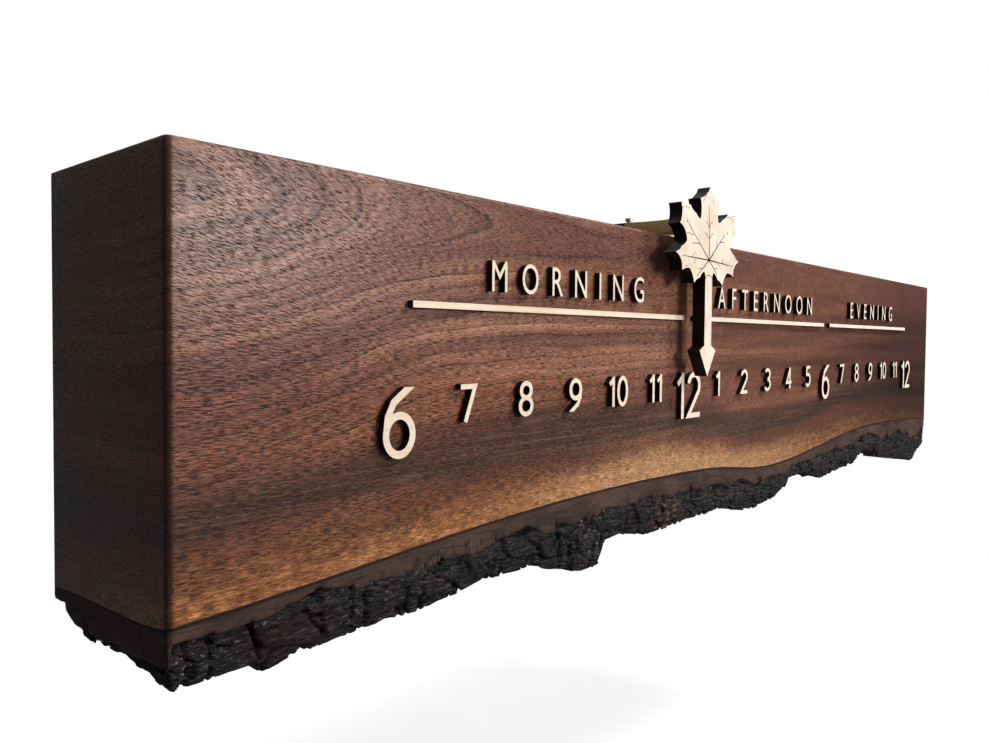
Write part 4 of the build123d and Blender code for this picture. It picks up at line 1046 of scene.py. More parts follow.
def bark_finish():
    """Sealed bark, which mixes its sawn and its rough colours by how rough it is."""
    material, shader, place, (x, _, _) = finish("bark")
    rough, push, band = (
        read(place.tree, "ShaderNodeAttribute", output="Fac", attribute_name=name)
        for name in ("rough", "push", "band")
    )
    grit = noise(place, (240, 240, 1250), 4.0, 0.70)
    # Smoother spots of sealer, which the cork also paints with pale glints
    sealer_gloss_and_painted_glint = fade(noise(place, (420, 420, 900), 2.0, 0.6), 0.61, 0.69)
    sealer_gloss_and_painted_glint = sealer_gloss_and_painted_glint * fade(noise(place, (26, 26, 40), 1.0), 0.45, 0.60)
    sawn = sawn_bark(place, x, band, push)
    connect(shader, {
        "Base Color": blend(rough, sawn, cork(place, push, grit, sealer_gloss_and_painted_glint)),
        "Roughness": 0.66 - 0.42 * (sealer_gloss_and_painted_glint * rough),
        "Specular IOR Level": 0.12,
    })
    relief(shader, (0.1 + 0.9 * rough) * grit, 0.0013)
    return material


bark_material = bark_finish()
print("bark finish with a flaked patch at", flake_place)

# %% [markdown]
# There are three strips, mitred like the boards above them. Each reads its lower edge from its
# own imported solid, so the outline stays as it was built and only the relief is new. Its points
# lie about a millimetre apart. On the left return the saw took off much more of the rough bark,
# as the photograph shows.

# %% Bark strips
band_height = 0.020
front_lower = lower_line("front_bark", 1, front + bark_depth, 0, front_line)
left_lower = lower_line("left_bark", 0, -half + bark_depth, 1, left_line)
right_lower = lower_line("right_bark", 0, half - bark_depth, 1, right_line)
bark_rows = (
    ("front_edge", "front_bark", 2 * half, (1, 1), to_front, 0.00105, 3, 0.33,
     lambda s: edge_height(s - half), lambda s: np.interp(s - half, *front_lower)),
    ("left_edge", "left_bark", depth, (1, 0), to_side(-1), 0.0009, 5, 0.72,
     lambda s: edge_height(-half - s), lambda s: np.interp(s + front, *left_lower)),
    ("right_edge", "right_bark", depth, (1, 0), to_side(1), 0.0009, 7, 0.33,
     lambda s: edge_height(half + s), lambda s: np.interp(s + front, *right_lower)),
)
for name, node, length, mitres, seat, step, seed, sawn_share, wood_line, bark_line in bark_rows:
    grid, push, rough = bark_grid(length, mitres, wood_line, bark_line, step, seed, sawn_share)
    share = np.clip((wood_line(grid[..., 0]) - grid[..., 2]) / band_height, 0, 1)
    values = {"push": push, "rough": rough, "band": share}
    piece = skin(name, seat(grid), bark_material, values=values)
    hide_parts(node)
    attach(piece, "case")
    print(name, len(piece.data.polygons), "faces, pushed in by", round(push.max() * 1000, 2), "mm")

# %% [markdown]
# Figures, bars, words and the leaf are cut by laser from thin pale wood. The beam leaves the face
# as it was, cream with a faint straight grain, and burns the cut edge almost black. That is why
# each figure reads as a pale face with a dark side. The finish tells a face from an edge by the
# direction of the surface, so one material serves every cut piece.

# %% Cut ply
def facing(tree):
    """How far a surface turns towards the front, from 1 for the front to -1 for the back."""
    return -1.0 * split(read(tree, "ShaderNodeTexCoord", output="Normal"))[1]


def cut_wood(name, face_colours, grain=(9, 9, 700), engraved=None):
    """Pale wood cut by laser. With a depth, whatever lies behind it is burnt as well."""
    material, shader, place, (_, y, _) = finish(name)
    streak = noise(place, grain, 3.0, 0.6)
    tint = 0.6 * streak + 0.4 * noise(place, (45, 45, 60))
    face = ramp(tint, (0.35, face_colours[0]), (0.65, face_colours[1]))
    soot = ramp(noise(place, (160, 160, 60), 2.0, 0.6),
                (0.35, linear(9, 7, 6)), (0.7, linear(24, 17, 13)))
    front_on = facing(place.tree)
    pale = fade(front_on, 0.55, 0.85)
    if engraved is not None:
        pale = pale * fade(y, engraved, engraved - 0.00002)
        pale = calc("MINIMUM", pale + fade(front_on, -0.6, -0.9), 1.0)
    connect(shader, {
        "Base Color": blend(pale, soot, face), "Roughness": 0.60, "Specular IOR Level": 0.20,
    })
    relief(shader, streak, 0.00006)
    return material


def dress(node, material):
    """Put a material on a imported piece, in place of the plain one that it came with."""
    for held in nodes[node].material_slots:
        held.material = material


figure_ply = cut_wood("figure_ply", (linear(216, 193, 167), linear(234, 216, 196)))
for name in ("numerals_morning", "numerals_afternoon", "numerals_evening", "scale_bars"):
    dress(name, figure_ply)
print("figures:", [name for name in nodes if name.startswith("numerals")])

# %% [markdown]
# The three words are spaced widely, so that each fills the middle of its bar. A text object is
# made first at a plain size, then measured. Its height gives the scale, and two trial spacings
# give the one at which the word is as wide as it should be, because the width grows in
# proportion to the spacing.

# %% Words
cap_height, word_drop, word_relief = 0.014, 0.042, 0.0032
word_rows = (("MORNING", -0.240, 0.130), ("AFTERNOON", 0.0015, 0.167), ("EVENING", 0.2425, 0.126))
letter_narrowing = 0.80


def letters(word, spacing):
    """Flat text as a mesh, one unit of type size high."""
    curve = bpy.data.curves.new("trial", "FONT")
    curve.body, curve.space_character, curve.resolution_u = word, spacing, 6
    holder = new_object("trial", curve)
    mesh = bpy.data.meshes.new_from_object(
        holder.evaluated_get(bpy.context.evaluated_depsgraph_get()))
    bpy.data.objects.remove(holder)
    bpy.data.curves.remove(curve)
    return mesh


def reach_of(mesh):
    """Lowest and highest corner of a mesh."""
    points = points_of(mesh)
    return points.min(axis=0), points.max(axis=0)


def solid_word(word, middle, width):
    """Word in relief on the front, as wide as asked for."""
    low, high = reach_of(letters("I", 1.0))
    tall = cap_height / (high[1] - low[1])
    across = tall * letter_narrowing
    trials = []
    for spacing in (1.0, 2.0):
        low, high = reach_of(letters(word, spacing))
        trials.append((high[0] - low[0]) * across)
    spacing = 1.0 + (width - trials[0]) / (trials[1] - trials[0])
    flat = letters(word, spacing)
    low, high = reach_of(flat)
    work = bmesh.new()
    work.from_mesh(flat)
    bmesh.ops.remove_doubles(work, verts=work.verts, dist=1e-5)
    rise = bmesh.ops.extrude_face_region(work, geom=work.faces[:])
    lifted = [item for item in rise["geom"] if isinstance(item, bmesh.types.BMVert)]
    for point in lifted:
        point.co.z = word_relief
    for point in work.verts:
        x = middle + (point.co.x - (low[0] + high[0]) / 2) * across
        point.co = (x, front - point.co.z, top - word_drop + point.co.y * tall)
    bmesh.ops.recalc_face_normals(work, faces=work.faces)
    mesh = bpy.data.meshes.new(word.lower())
    work.to_mesh(mesh)
    work.free()
    bpy.data.meshes.remove(flat)
    mesh.materials.append(figure_ply)
    piece = new_object(word.lower(), mesh)
    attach(piece, "case")
    return spacing


for word, middle, width in word_rows:
    print(word, "letter spacing", round(solid_word(word, middle, width), 2))

# %% [markdown]
# The leaf's veins are engraved by the same laser at lower power, a third of a millimetre deep.
# Each vein is a stroke that tapers from the middle of the leaf to its end. The strokes are made
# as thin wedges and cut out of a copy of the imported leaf, so the lines are real grooves and the
# burnt finish inside them follows from their depth.

# %% Leaf: strokes of the veins
vein_depth, vein_root, vein_tip = 0.00035, 0.00085, 0.00045
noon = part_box("scale_bars")[0][0] - 0.007 + 0.240
leaf_face = cad_low[1]
vein_centre = (0.0, -14.3)
main_veins = (
    (-0.8, 19.0), (-26.5, 5.5), (20.5, 3.2), (-29.5, -14.0), (28.5, -15.6), (-15.5, -25.0),
    (11.0, -22.5),
)
side_veins = (
    ((-0.2, -1.5), (-6.2, 2.0)), ((-0.2, -1.5), (5.2, 3.0)), ((-0.4, 5.5), (-4.6, 9.0)),
    ((-0.4, 5.5), (3.6, 9.4)), ((-19.6, -1.2), (-28.4, -0.4)), ((-12.6, -5.6), (-21.6, -5.9)),
    ((14.4, -2.4), (21.0, -1.8)), ((9.4, -6.2), (9.8, -0.6)), ((-17.0, -14.1), (-19.0, -17.6)),
    ((-21.5, -14.1), (-17.6, -10.6)), ((11.5, -15.2), (15.0, -18.6)),
    ((17.5, -15.4), (20.6, -12.0)), ((-8.8, -20.2), (-13.6, -20.6)), ((6.8, -19.4), (11.4, -18.8)),
)
dots = ((-27.6, 6.4), (24.0, 4.4), (-31.4, -13.9), (31.0, -15.8))
tip_strokes = (
    ((-8.6, 20.6), (-4.4, 24.8)), ((-36.4, 12.2), (-31.6, 14.6)), ((-30.0, 14.9), (-25.6, 14.0)),
    ((29.6, 14.6), (34.0, 12.6)), ((23.4, 14.2), (27.6, 15.0)), ((-37.6, -11.4), (-33.4, -7.8)),
    ((37.2, -12.8), (33.2, -8.8)), ((5.4, 20.4), (4.0, 24.0)), ((-30.4, -19.8), (-26.0, -19.2)),
)


def wedge(work, start, end, wide_start, wide_end):
    """Tapered stroke between two points of the leaf, as a block that reaches into its face."""
    start, end = [Vector((noon + x / 1000, 0, top + z / 1000)) for x, z in (start, end)]
    across = (end - start).cross(Vector((0, 1, 0))).normalized()
    rim = [
        start + across * wide_start / 2, end + across * wide_end / 2,
        end - across * wide_end / 2, start - across * wide_start / 2,
    ]
    rings = [
        [work.verts.new((p.x, y, p.z)) for p in rim]
        for y in (leaf_face - 0.0004, leaf_face + vein_depth)
    ]
    work.faces.new(rings[0])
    work.faces.new(rings[1][::-1])
    for i in range(4):
        j = (i + 1) % 4
        work.faces.new((rings[0][i], rings[1][i], rings[1][j], rings[0][j]))


def vein_cutter():
    """All strokes of the engraving in one mesh."""
    work = bmesh.new()
    for tip in main_veins:
        wedge(work, vein_centre, tip, vein_root, vein_tip)
    for start, end in side_veins:
        bend = ((start[0] + end[0]) / 2, (start[1] + end[1]) / 2 + 0.5)
        wedge(work, start, bend, vein_tip, vein_tip * 0.9)
        wedge(work, bend, end, vein_tip * 0.9, vein_tip * 0.7)
    for x, z in dots:
        wedge(work, (x - 0.6, z), (x + 0.6, z), 0.0010, 0.0010)
    for start, end in tip_strokes:
        wedge(work, start, end, vein_tip * 0.8, vein_tip * 0.6)
    turn = np.linspace(0, math.pi, 9)
    arch = [(4.3 * math.cos(a), -26.0 + 2.6 * math.sin(a)) for a in turn]
    for start, end in zip(arch, arch[1:]):
        wedge(work, start, end, vein_tip, vein_tip)
    bmesh.ops.recalc_face_normals(work, faces=work.faces)
    mesh = bpy.data.meshes.new("veins")
    work.to_mesh(mesh)
    work.free()
    return new_object("veins", mesh)


print(len(main_veins) + len(side_veins), "veins")

# %% [markdown]
# A boolean modifier cuts one mesh by another, and it needs clean ones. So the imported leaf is
# copied, its doubled points are merged and its flat faces joined. The strokes are then cut out
# of the copy, the modifier is applied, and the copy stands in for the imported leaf.


# %% Leaf: cut the veins
def own_copy(node, name, material):
    """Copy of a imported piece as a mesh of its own, with its doubled points merged."""
    mesh = nodes[node].data.copy()
    work = bmesh.new()
    work.from_mesh(mesh)
    bmesh.ops.remove_doubles(work, verts=work.verts, dist=1e-6)
    bmesh.ops.dissolve_limit(
        work, angle_limit=math.radians(0.5), verts=work.verts, edges=work.edges)
    work.to_mesh(mesh)
    work.free()
    mesh.materials.clear()
    mesh.materials.append(material)
    piece = new_object(name, mesh)
    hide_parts(node)
    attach(piece, body_of(nodes[node])[0])
    return piece


def settle(piece):
    """Apply the modifiers of a piece, so that its mesh is final."""
    shaped = piece.evaluated_get(bpy.context.evaluated_depsgraph_get())
    mesh = bpy.data.meshes.new_from_object(shaped)
    old = piece.data
    piece.modifiers.clear()
    piece.data = mesh
    bpy.data.meshes.remove(old)


leaf_wood = cut_wood(
    "leaf_wood", (linear(206, 183, 158), linear(236, 225, 209)), (760, 9, 60),
    engraved=leaf_face + 0.00006,
)
leaf = own_copy("leaf_pointer", "leaf", leaf_wood)
cutter = vein_cutter()
cut = leaf.modifiers.new("engrave", "BOOLEAN")
cut.operation, cut.solver, cut.object, cut.use_self = "DIFFERENCE", "EXACT", cutter, True
settle(leaf)
bpy.data.objects.remove(cutter)
leaf.data.shade_flat()
print("leaf:", len(leaf.data.polygons), "faces")

# %% [markdown]
# Behind the front are metal, plastic and board parts. Most of them share a few ways of making,
# and each way leaves its own marks. Extruded or brushed metal has fine lines along one axis, sheet
# steel has the crystals of its zinc, turned parts have rings, and moulded plastic has a faint
# even grain. One function draws these marks in the direction asked for, and the pieces name
# the colour and the way they were made.

# %% Metals and plastics
def shades(colour, dark, pale=1.0):
    """A colour times two numbers, as the two ends of a ramp."""
    return [(*(min(1.0, value * share) for value in colour[:3]), 1.0) for share in (dark, pale)]


def worked(name, colour, roughness, metal=0.0, marks=(60, 60, 60), depth=0.00002, variation=0.12):
    """Metal or plastic whose marks are noise with the given grains to the metre on each axis."""
    material, shader, place, _ = finish(name)
    grainy = noise(place, marks, 3.0, 0.6)
    tone = 0.6 * grainy + 0.4 * noise(place, (35, 35, 35))
    dark, pale = shades(colour, 1 - variation, 1 + variation)
    connect(shader, {
        "Base Color": ramp(tone, (0.35, dark), (0.65, pale)),
        "Roughness": 0.16 * grainy + (roughness - 0.08), "Metallic": metal,
    })
    relief(shader, grainy, depth)
    return material


def crystalline(name, colour, roughness):
    """Zinc-plated sheet: flat crystals, each a slightly different grey."""
    material, shader, place, _ = finish(name)
    cells = read(place.tree, "ShaderNodeTexVoronoi",
                 {"Vector": place, "Scale": 210.0, "Randomness": 1.0}, output="Color")
    grey = read(place.tree, "ShaderNodeSeparateColor", {0: cells})
    dark, pale = shades(colour, 0.82)
    connect(shader, {
        "Base Color": ramp(grey, (0.2, dark), (0.8, pale)),
        "Roughness": 0.14 * grey + roughness, "Metallic": 1.0,
    })
    relief(shader, noise(place, (900, 900, 900)), 0.00001)
    return material


even_metal, even_plastic = (500, 500, 500), (1500, 1500, 1500)
anodised = worked("anodised", linear(196, 198, 200), 0.34, 1.0, (3, 900, 900), 0.000015)
zinc_sheet = crystalline("zinc_sheet", linear(196, 199, 202), 0.30)
bright_steel = worked("bright_steel", linear(186, 184, 180), 0.28, 1.0, even_metal, 0.000006)
black_steel = worked("black_steel", linear(38, 38, 40), 0.38, 0.6, (400, 400, 400), 0.00001)
brass = worked("brass", linear(196, 164, 104), 0.30, 1.0, even_metal, 0.000006)
black_plastic = worked("black_plastic", linear(24, 24, 26), 0.48, 0.0, even_plastic)
printed = worked("printed_plastic", linear(19, 19, 21), 0.42, 0.0, (12, 12, 2600), 0.00006, 0.25)
belt_rubber = worked("belt_rubber", linear(22, 22, 22), 0.62, 0.0, (900, 900, 900), 0.00003)
print("materials so far:", len(bpy.data.materials))

# %% [markdown]
# Some nodes are one solid in which several materials meet, because that is how the part comes: a
# motor is black sheets between two cast caps, a circuit board is green resin with black parts on
# it, and ply shows its layers only at its edges. Their finishes choose a colour from where the
# point lies in the part.


# %% Layered finishes: motor and boards
def motor_finish(rear, ahead):
    """Stepper motor: dark stack of sheets between two cast caps, in depth from rear to front."""
    material, shader, place, (_, y, _) = finish("motor")
    share = read(place.tree, "ShaderNodeMapRange", {
        "Value": y, "From Min": rear, "From Max": ahead, "To Min": 0.0, "To Max": 1.0,
    })
    capped = fade(share, 0.24, 0.22) + fade(share, 0.70, 0.72)
    sheets = noise(place, (4, 2400, 4))
    cast = ramp(noise(place, (900, 900, 900), 3.0, 0.6),
                (0.35, linear(150, 152, 154)), (0.65, linear(190, 192, 194)))
    stack = ramp(sheets, (0.4, linear(16, 16, 17)), (0.6, linear(44, 44, 46)))
    connect(shader, {
        "Base Color": blend(capped, stack, cast), "Roughness": 0.5 - 0.1 * capped,
        "Metallic": 0.85,
    })
    relief(shader, sheets, 0.00004)
    return material


def cells_behind(place, size, randomness, **settings):
    """Distance to the middle of the cell that a point belongs to, seen from the front."""
    flat = read(place.tree, "ShaderNodeMapping", {"Vector": place, "Scale": (1, 0, 1)})
    return read(place.tree, "ShaderNodeTexVoronoi",
                {"Vector": flat, "Scale": size, "Randomness": randomness},
                output="Distance", **settings)


def board_finish(face, rear):
    """Circuit board: green resin with lighter tracks, and black parts in front of it."""
    material, shader, place, (_, y, _) = finish("circuit_board")
    tracks = cells_behind(place, 230.0, 0.55, feature="F2", distance="CHEBYCHEV")
    ring = calc("FRACT", 2.6 * tracks)
    line = fade(ring, 0.40, 0.46) * fade(ring, 0.64, 0.58)
    green = blend(line, linear(22, 70, 44), linear(40, 104, 62))
    holes = fade(cells_behind(place, 310.0, 0.0), 0.24, 0.18)
    green = blend(holes, green, linear(186, 170, 120))
    inside = fade(y, rear + 0.0002, rear + 0.0001) * fade(y, face - 0.0002, face - 0.0001)
    part = ramp(noise(place, (900, 900, 900)),
                (0.4, linear(22, 22, 24)), (0.6, linear(32, 32, 34)))
    connect(shader, {
        "Base Color": blend(inside, part, green), "Roughness": 0.5 - 0.18 * inside,
    })
    relief(shader, line, 0.00003)
    return material


def module_finish(name, resin, bright):
    """Small module: coloured resin sheet, with tinned or black parts standing in front of it."""
    material, shader, place, (_, y, _) = finish(name)
    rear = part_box(name)[1][1]
    sheet = fade(y, rear - 0.0013, rear - 0.0012)
    speck = noise(place, (1200, 1200, 1200), 2.0, 0.6)
    back = ramp(noise(place, (260, 260, 260), 1.0, 0.4), (0.45, resin), (0.62, bright))
    chip = ramp(speck, (0.4, linear(18, 18, 20)), (0.6, linear(30, 30, 32)))
    connect(shader, {"Base Color": blend(sheet, chip, back), "Roughness": 0.42})
    relief(shader, speck, 0.00002)
    return material


print("finishes of motor, board and modules ready")

# %% [markdown]
# Ply is known by its edges, so its finish draws the layers wherever a surface faces neither the
# front nor the back. Planed maple has straight lines along its grain. A wheel is drawn in rings
# round its own middle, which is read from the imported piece: tyre, steel bearing, and the dark
# seal of the bearing.


# %% Layered finishes: wood and wheels
def plywood(layer_thickness=0.0034):
    """Birch ply: long pale grain on the faces, layers turned by turns on the edges."""
    material, shader, place, (_, y, _) = finish("plywood")
    grain = noise(place, (7, 60, 420), 3.0, 0.55)
    tone = 0.55 * grain + 0.45 * noise(place, (3, 20, 26), 2.0, 0.5, 0.6)
    face = ramp(tone, (0.36, linear(192, 158, 116)), (0.64, linear(214, 186, 146)))
    layer = calc("FRACT", y * (1 / layer_thickness))
    turned = fade(layer, 0.48, 0.52) * fade(layer, 1.0, 0.96)
    edge = blend(turned, linear(206, 176, 134), linear(134, 98, 64))
    flat = fade(calc("ABSOLUTE", facing(place.tree)), 0.5, 0.8)
    connect(shader, {"Base Color": blend(flat, edge, face), "Roughness": 0.62})
    relief(shader, grain, 0.00008)
    return material


def maple_wood(name, across, dark, pale):
    """Plain planed maple with straight grain along one axis."""
    material, shader, place, _ = finish(name)
    lines = noise(place, across, 3.0, 0.6, 0.5)
    tone = 0.7 * lines + 0.3 * noise(place, (90, 700, 90))
    connect(shader, {"Base Color": ramp(tone, (0.36, dark), (0.64, pale)), "Roughness": 0.50})
    relief(shader, lines, 0.00008)
    return material


def wheel_finish(name):
    """Wheel: turned plastic tyre, with a steel bearing and its dark seal in the middle."""
    material, shader, _, (x, y, z) = finish(f"finish_{name}")
    low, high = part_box(name)
    middle = (low + high) / 2
    x, z = x - middle[0], z - middle[2]
    far = calc("SQRT", x * x + z * z)
    rings = noise(join(far, y, 0.0), (3200, 1800, 1), 2.0, 0.6)
    tyre = ramp(rings, (0.35, linear(22, 22, 24)), (0.65, linear(38, 38, 40)))
    steel = ramp(rings, (0.35, linear(150, 150, 152)), (0.65, linear(200, 200, 200)))
    seal = fade(far, 0.0034, 0.0035) * fade(far, 0.0044, 0.0043)
    steel = blend(seal, steel, linear(24, 24, 26))
    bearing = fade(far, 0.0050, 0.0049)
    bare = bearing * (1.0 - seal)
    connect(shader, {
        "Base Color": blend(bearing, tyre, steel), "Metallic": bare,
        "Roughness": 0.46 - 0.16 * bare,
    })
    relief(shader, rings, 0.00002)
    return material


def turned_metal(name, shade, roughness, marks=(300, 900, 300)):
    """Turned aluminium, whose lines run round it."""
    return worked(name, linear(shade, shade + 2, shade + 4), roughness, 1.0, marks)


print("finishes of ply, maple and wheels ready")

# %% [markdown]
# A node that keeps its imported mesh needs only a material. One table says which node gets which,
# and pieces that were made in the same way share one finish.

# %% Dress the nodes
motor_low, motor_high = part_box("stepper_motor")
board_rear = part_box("controller_board")[1][1]
resin_thickness = 0.0016
finishes = {
    "back_board": plywood(),
    "corner_blocks": maple_wood("glued_block", (60, 60, 6), linear(150, 112, 78),
                                linear(190, 152, 110)),
    "rail": anodised,
    "rail_spacers": turned_metal("spacer", 188, 0.32),
    "wheel_spacers": turned_metal("wheel_spacer", 188, 0.30),
    "drive_pulley": turned_metal("pulley", 204, 0.30, (500, 1800, 500)),
    "idler_pulley": turned_metal("idler", 204, 0.30, (500, 1800, 500)),
    "stepper_motor": motor_finish(motor_high[1], motor_low[1]),
    "carriage_plate": worked("plate", linear(44, 45, 48), 0.40, 0.7, (700, 60, 900), 0.00001),
    "controller_board": board_finish(board_rear - resin_thickness, board_rear),
    "board_standoffs": brass,
    "processor_module": module_finish("processor_module", linear(24, 40, 74), linear(40, 60, 96)),
    "motor_driver": module_finish("motor_driver", linear(96, 30, 34), linear(126, 44, 46)),
}
shared_finishes = (
    (zinc_sheet, ("rail_nuts", "hanger_plates", "motor_bracket", "idler_bracket")),
    (bright_steel, ("idler_nut", "idler_axle", "motor_shaft", "wheel_nuts", "switch_lever",
                    "backup_cell")),
    (black_plastic, ("home_switch", "power_jack", "forward_button", "back_button")),
    (printed, ("belt_clamp", "clamp_cap")),
)
for material, names in shared_finishes:
    finishes.update({name: material for name in names})
for name in ("wheel_upper_left", "wheel_upper_right", "wheel_lower"):
    finishes[name] = wheel_finish(name)
for name, material in finishes.items():
    dress(name, material)
print(len(finishes), "nodes finished")

# %% [markdown]
# Sharp edges look wrong on a real part: sheet metal is rolled, and planed wood is sanded. The
# arm, the printed post, the plate and the clamp are copied, and each edge is given the small
# round that its making leaves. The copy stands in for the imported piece.


# %% Eased edges
def ease(node, name, material, width, segments):
    """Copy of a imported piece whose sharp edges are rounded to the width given."""
    piece = own_copy(node, name, material)
    bevel = piece.modifiers.new("ease", "BEVEL")
    bevel.width, bevel.segments, bevel.limit_method = width, segments, "ANGLE"
    bevel.angle_limit = math.radians(30)
    settle(piece)
    piece.data.shade_smooth()
    crease(piece, 35)
    return piece


arm_wood = maple_wood("arm_wood", (150, 5, 150), linear(176, 146, 96), linear(212, 184, 132))
ease_rows = (
    ("arm", "arm_wood", arm_wood, "maple", 0.0006, 3),
    ("pointer_post", "post", printed, "black_plastic", 0.0006, 3),
    ("carriage_plate", "plate", finishes["carriage_plate"], "aluminium", 0.0004, 2),
    ("belt_clamp", "clamp", printed, "black_plastic", 0.0004, 2),
    ("clamp_cap", "cap", printed, "black_plastic", 0.0004, 2),
)
for node, name, material, slot, width, segments in ease_rows:
    piece = ease(node, name, material, width, segments)
    print(name, len(piece.data.polygons), "faces")

# %% [markdown]
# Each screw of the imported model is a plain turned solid. The real ones have a thread, a recess
# for the driver and a crowned head. All of them come from one function: rings of points from the
# floor of the recess, over the head and down the thread to the tip. A thread is a radius that
# goes up and down with the distance along the screw minus the turn round it. The recess is a
# hexagon or a cross, given by how far its edge lies from the middle in each direction.


# %% Screws: recess, head and thread
def recess_edge(turn, drive, size):
    """How far the edge of a recess lies from the middle: a hexagon, or two crossed bars.

    A flat edge is as far away as its size over the cosine of the turn from its middle.
    """
    if drive == "hex":
        fold = (turn + math.pi / 6) % (math.pi / 3) - math.pi / 6
        return size / np.cos(fold)
    fold = np.abs((turn + math.pi / 4) % (math.pi / 2) - math.pi / 4)
    return np.minimum(size / np.cos(fold), 0.28 * size / np.maximum(np.sin(fold), 1e-3))


def screw_rings(head, shank, rise, length, shape, drive, pitch):
    """Rings of a screw as distances below its top, and radii in each direction round it.

    The thread's groove is deepest where the turns down the screw and the turn round it agree:
    its depth goes with half of one plus the cosine of their difference.
    """
    turn = np.linspace(0, 2 * math.pi, 48, endpoint=False)
    wide = {"hex": 0.46, "cross": 0.62}[drive] * (head if rise else shank * 1.15)
    socket = recess_edge(turn, drive, wide)
    sunk = max(0.55 * rise, 0.0012)
    crown = {"pan": 0.38, "button": 0.62, "flat": 0.0, "grub": 0.0}[shape] * rise
    rows = [(sunk, 0 * turn), (sunk, 0.5 * socket), (sunk * 0.94, 0.94 * socket)]
    for share in (0, 0.3, 0.6, 0.8, 0.92, 1.0):
        radius = socket + share * (head - socket)
        rows.append((crown * (radius / head) ** 2.6, radius))
    if shape in ("pan", "button"):
        rows += [(rise * 0.97, head + 0 * turn), (rise, head * 0.97 + 0 * turn)]
    else:
        rows.append((0.00012, head + 0 * turn))
    rows.append((rise if rise else 0.0003, shank + 0 * turn))
    start = rows[-1][0]
    count = max(8, round((length - start) / pitch * 6))
    for down in np.linspace(start, length, count)[1:]:
        groove = 0.5 + 0.5 * np.cos(2 * math.pi * down / pitch - turn)
        fading = step_up(down, start, start + pitch) * (1 - step_up(down, length - pitch, length))
        radius = shank - 0.55 * pitch * groove ** 1.5 * fading
        rows.append((down, radius * (1 - 0.25 * step_up(down, length - 0.7 * pitch, length))))
    rows.append((length, 0 * turn))
    down = np.array([np.broadcast_to(row[0], turn.shape) for row in rows])
    return down, np.array([row[1] for row in rows]), turn


trial = screw_rings(0.0028, 0.0015, 0.0016, 0.008, "pan", "hex", 0.0005)
print("a small pan head screw has", len(trial[0]), "rings")

# %% [markdown]
# A node such as the back board's screws holds several solids. They are told apart by their
# edges: each point takes the lowest label among its neighbours, until nothing changes. Size and
# place are then read from each solid, so that every screw stays exactly where its solid was.


# %% Screws: laid over their solids
def solids_of(node):
    """Points of each separate solid of a node. The lowest label spreads along its edges."""
    mesh = nodes[node].data
    points = points_of(mesh)
    same = np.unique(np.round(points, 5), axis=0, return_inverse=True)[1].ravel()
    ends = np.zeros(len(mesh.edges) * 2, int)
    mesh.edges.foreach_get("vertices", ends)
    first, second = same[ends].reshape(-1, 2).T
    label = np.arange(same.max() + 1)
    while True:
        spread = label.copy()
        low = np.minimum(label[first], label[second])
        np.minimum.at(spread, first, low)
        np.minimum.at(spread, second, low)
        if np.array_equal(spread, label):
            break
        label = spread
    label = label[same]
    return [points[label == value] for value in np.unique(label)]


def screw_sizes(points, axis, across, shape):
    """Where a turned solid's top is, which way it goes on from there, and its main sizes."""
    low, high = points.min(axis=0), points.max(axis=0)
    middle = (low + high) / 2
    radius = np.hypot(*(points[:, side] - middle[side] for side in across))
    at_low, at_high = (radius[np.abs(points[:, axis] - end) < 1e-5].max()
                       for end in (low[axis], high[axis]))
    sign = 1 if at_low > at_high + 1e-5 else -1
    middle[axis] = low[axis] if sign > 0 else high[axis]
    head, shank = max(at_low, at_high), min(at_low, at_high)
    away = np.abs(points[:, axis] - middle[axis])
    if shape == "flat":
        rise = away[radius < shank + close].min()
    else:
        rise = away[radius > shank + 1e-4].max() if head > shank + 1e-4 else 0.0
    return middle, sign, (head, shank, rise, high[axis] - low[axis])


def screws(node, name, axis, shape, drive, pitch, material):
    """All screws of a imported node, each laid over its solid. They share the first one's sizes."""
    across = [other for other in range(3) if other != axis]
    found = [screw_sizes(points, axis, across, shape) for points in solids_of(node)]
    down, reach, turn = screw_rings(*found[0][2], shape, drive, pitch)
    grid = np.zeros((len(found), *down.shape, 3))
    for place, (top, sign, sizes) in zip(grid, found):
        place[..., axis] = top[axis] + sign * down
        place[..., across[0]] = top[across[0]] + reach * np.cos(turn)
        place[..., across[1]] = top[across[1]] + reach * np.sin(turn)
    piece = skin(name, grid, material, ends=False)
    crease(piece, 40)
    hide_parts(node)
    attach(piece, body_of(nodes[node])[0])
    sizes = [round(value * 1000, 2) for value in found[0][2]]
    print(name, len(found), "of head, shank, rise and length", sizes)


screw_rows = (
    ("arm_screw", "arm_cap_screw", 2, "pan", "cross", 0.0005, bright_steel),
    ("motor_screws", "motor_fixings", 1, "pan", "hex", 0.0005, bright_steel),
    ("bracket_screws", "bracket_fixings", 1, "pan", "cross", 0.0012, bright_steel),
    ("board_screws", "board_fixings", 1, "pan", "cross", 0.0005, bright_steel),
    ("clamp_screws", "clamp_fixings", 2, "pan", "hex", 0.0005, black_steel),
    ("post_screws", "post_fixings", 1, "pan", "hex", 0.0005, black_steel),
    ("switch_screws", "switch_fixings", 1, "pan", "cross", 0.0004, bright_steel),
    ("back_board_screws", "back_fixings", 1, "flat", "cross", 0.0013, brass),
    ("hanger_screws", "hanger_fixings", 1, "flat", "cross", 0.0012, bright_steel),
    ("rail_screws", "rail_fixings", 1, "flat", "hex", 0.0008, black_steel),
    ("wheel_bolts", "wheel_fixings", 1, "button", "hex", 0.0008, bright_steel),
    ("pulley_screw", "set_screw", 2, "grub", "hex", 0.0005, black_steel),
)
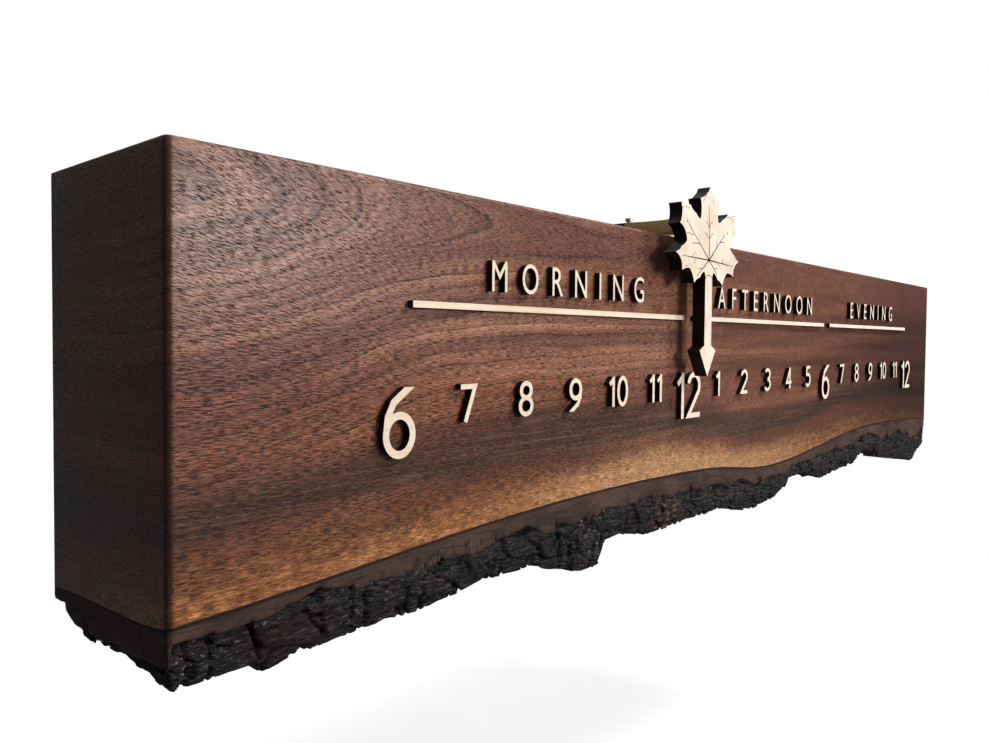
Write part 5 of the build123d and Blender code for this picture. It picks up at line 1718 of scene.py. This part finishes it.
for node, name, axis, shape, drive, pitch, material in screw_rows:
    screws(node, name, axis, shape, drive, pitch, material)

# %% [markdown]
# The belt is one closed band round two pulleys. Its path is two straights and two half circles,
# and for each distance along it there is a point and a direction outwards. The section is a thin
# rectangle whose inner side steps in and out every two millimetres, which makes the teeth. They
# stay clear of the pulleys' own teeth by a hair, because two meshes that share space flicker.

# %% Belt
belt_pitch, belt_back, belt_root, tooth_rise = 0.002, 0.00731, 0.00641, 0.00024
axle_reach, axle_height = 0.409, -0.026
belt_front, belt_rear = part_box("belt")[0][1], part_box("belt")[1][1]
band_radius = (belt_back + belt_root) / 2


def belt_path(way):
    """Points and outward directions at distances along the middle of the band, in X and Z.

    The way is a straight and a half circle, and then the same again, turned by half a turn. The
    point lies on the line of the axles. On a straight it moves and the direction stays, and on
    a half circle the direction turns and the point stays.
    """
    straight, bend = 2 * axle_reach, math.pi * band_radius
    side = way % (straight + bend)
    left_half = way >= straight + bend
    turn = np.clip(side - straight, 0, None) / band_radius
    x = np.where(side < straight, side - axle_reach, axle_reach)
    out_x, out_z = np.sin(turn), np.cos(turn)
    flip = np.where(left_half, -1.0, 1.0)
    return flip * x, flip * out_x, flip * out_z


band_length = 4 * axle_reach + 2 * math.pi * band_radius
teeth = round(band_length / belt_pitch)
way = np.linspace(0, band_length, teeth * 6, endpoint=False)
x, out_x, out_z = belt_path(way)
tooth = step_up(np.cos(2 * math.pi * way * teeth / band_length), -0.35, 0.35)
rings = np.zeros((len(way), 4, 3))
for corner, (y, reach) in enumerate((
    (belt_front, belt_back), (belt_rear, belt_back), (belt_rear, None), (belt_front, None),
)):
    reach = belt_root - tooth_rise * tooth if reach is None else reach
    high = axle_height + reach * out_z
    rings[:, corner] = np.stack([x + reach * out_x, np.full_like(x, y), high], axis=-1)
belt = skin("toothed_belt", np.concatenate([rings, rings[:1]]), belt_rubber, ends=False)
crease(belt, 30)
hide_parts("belt")
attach(belt, "case")
print("belt:", teeth, "teeth,", len(belt.data.polygons), "faces")
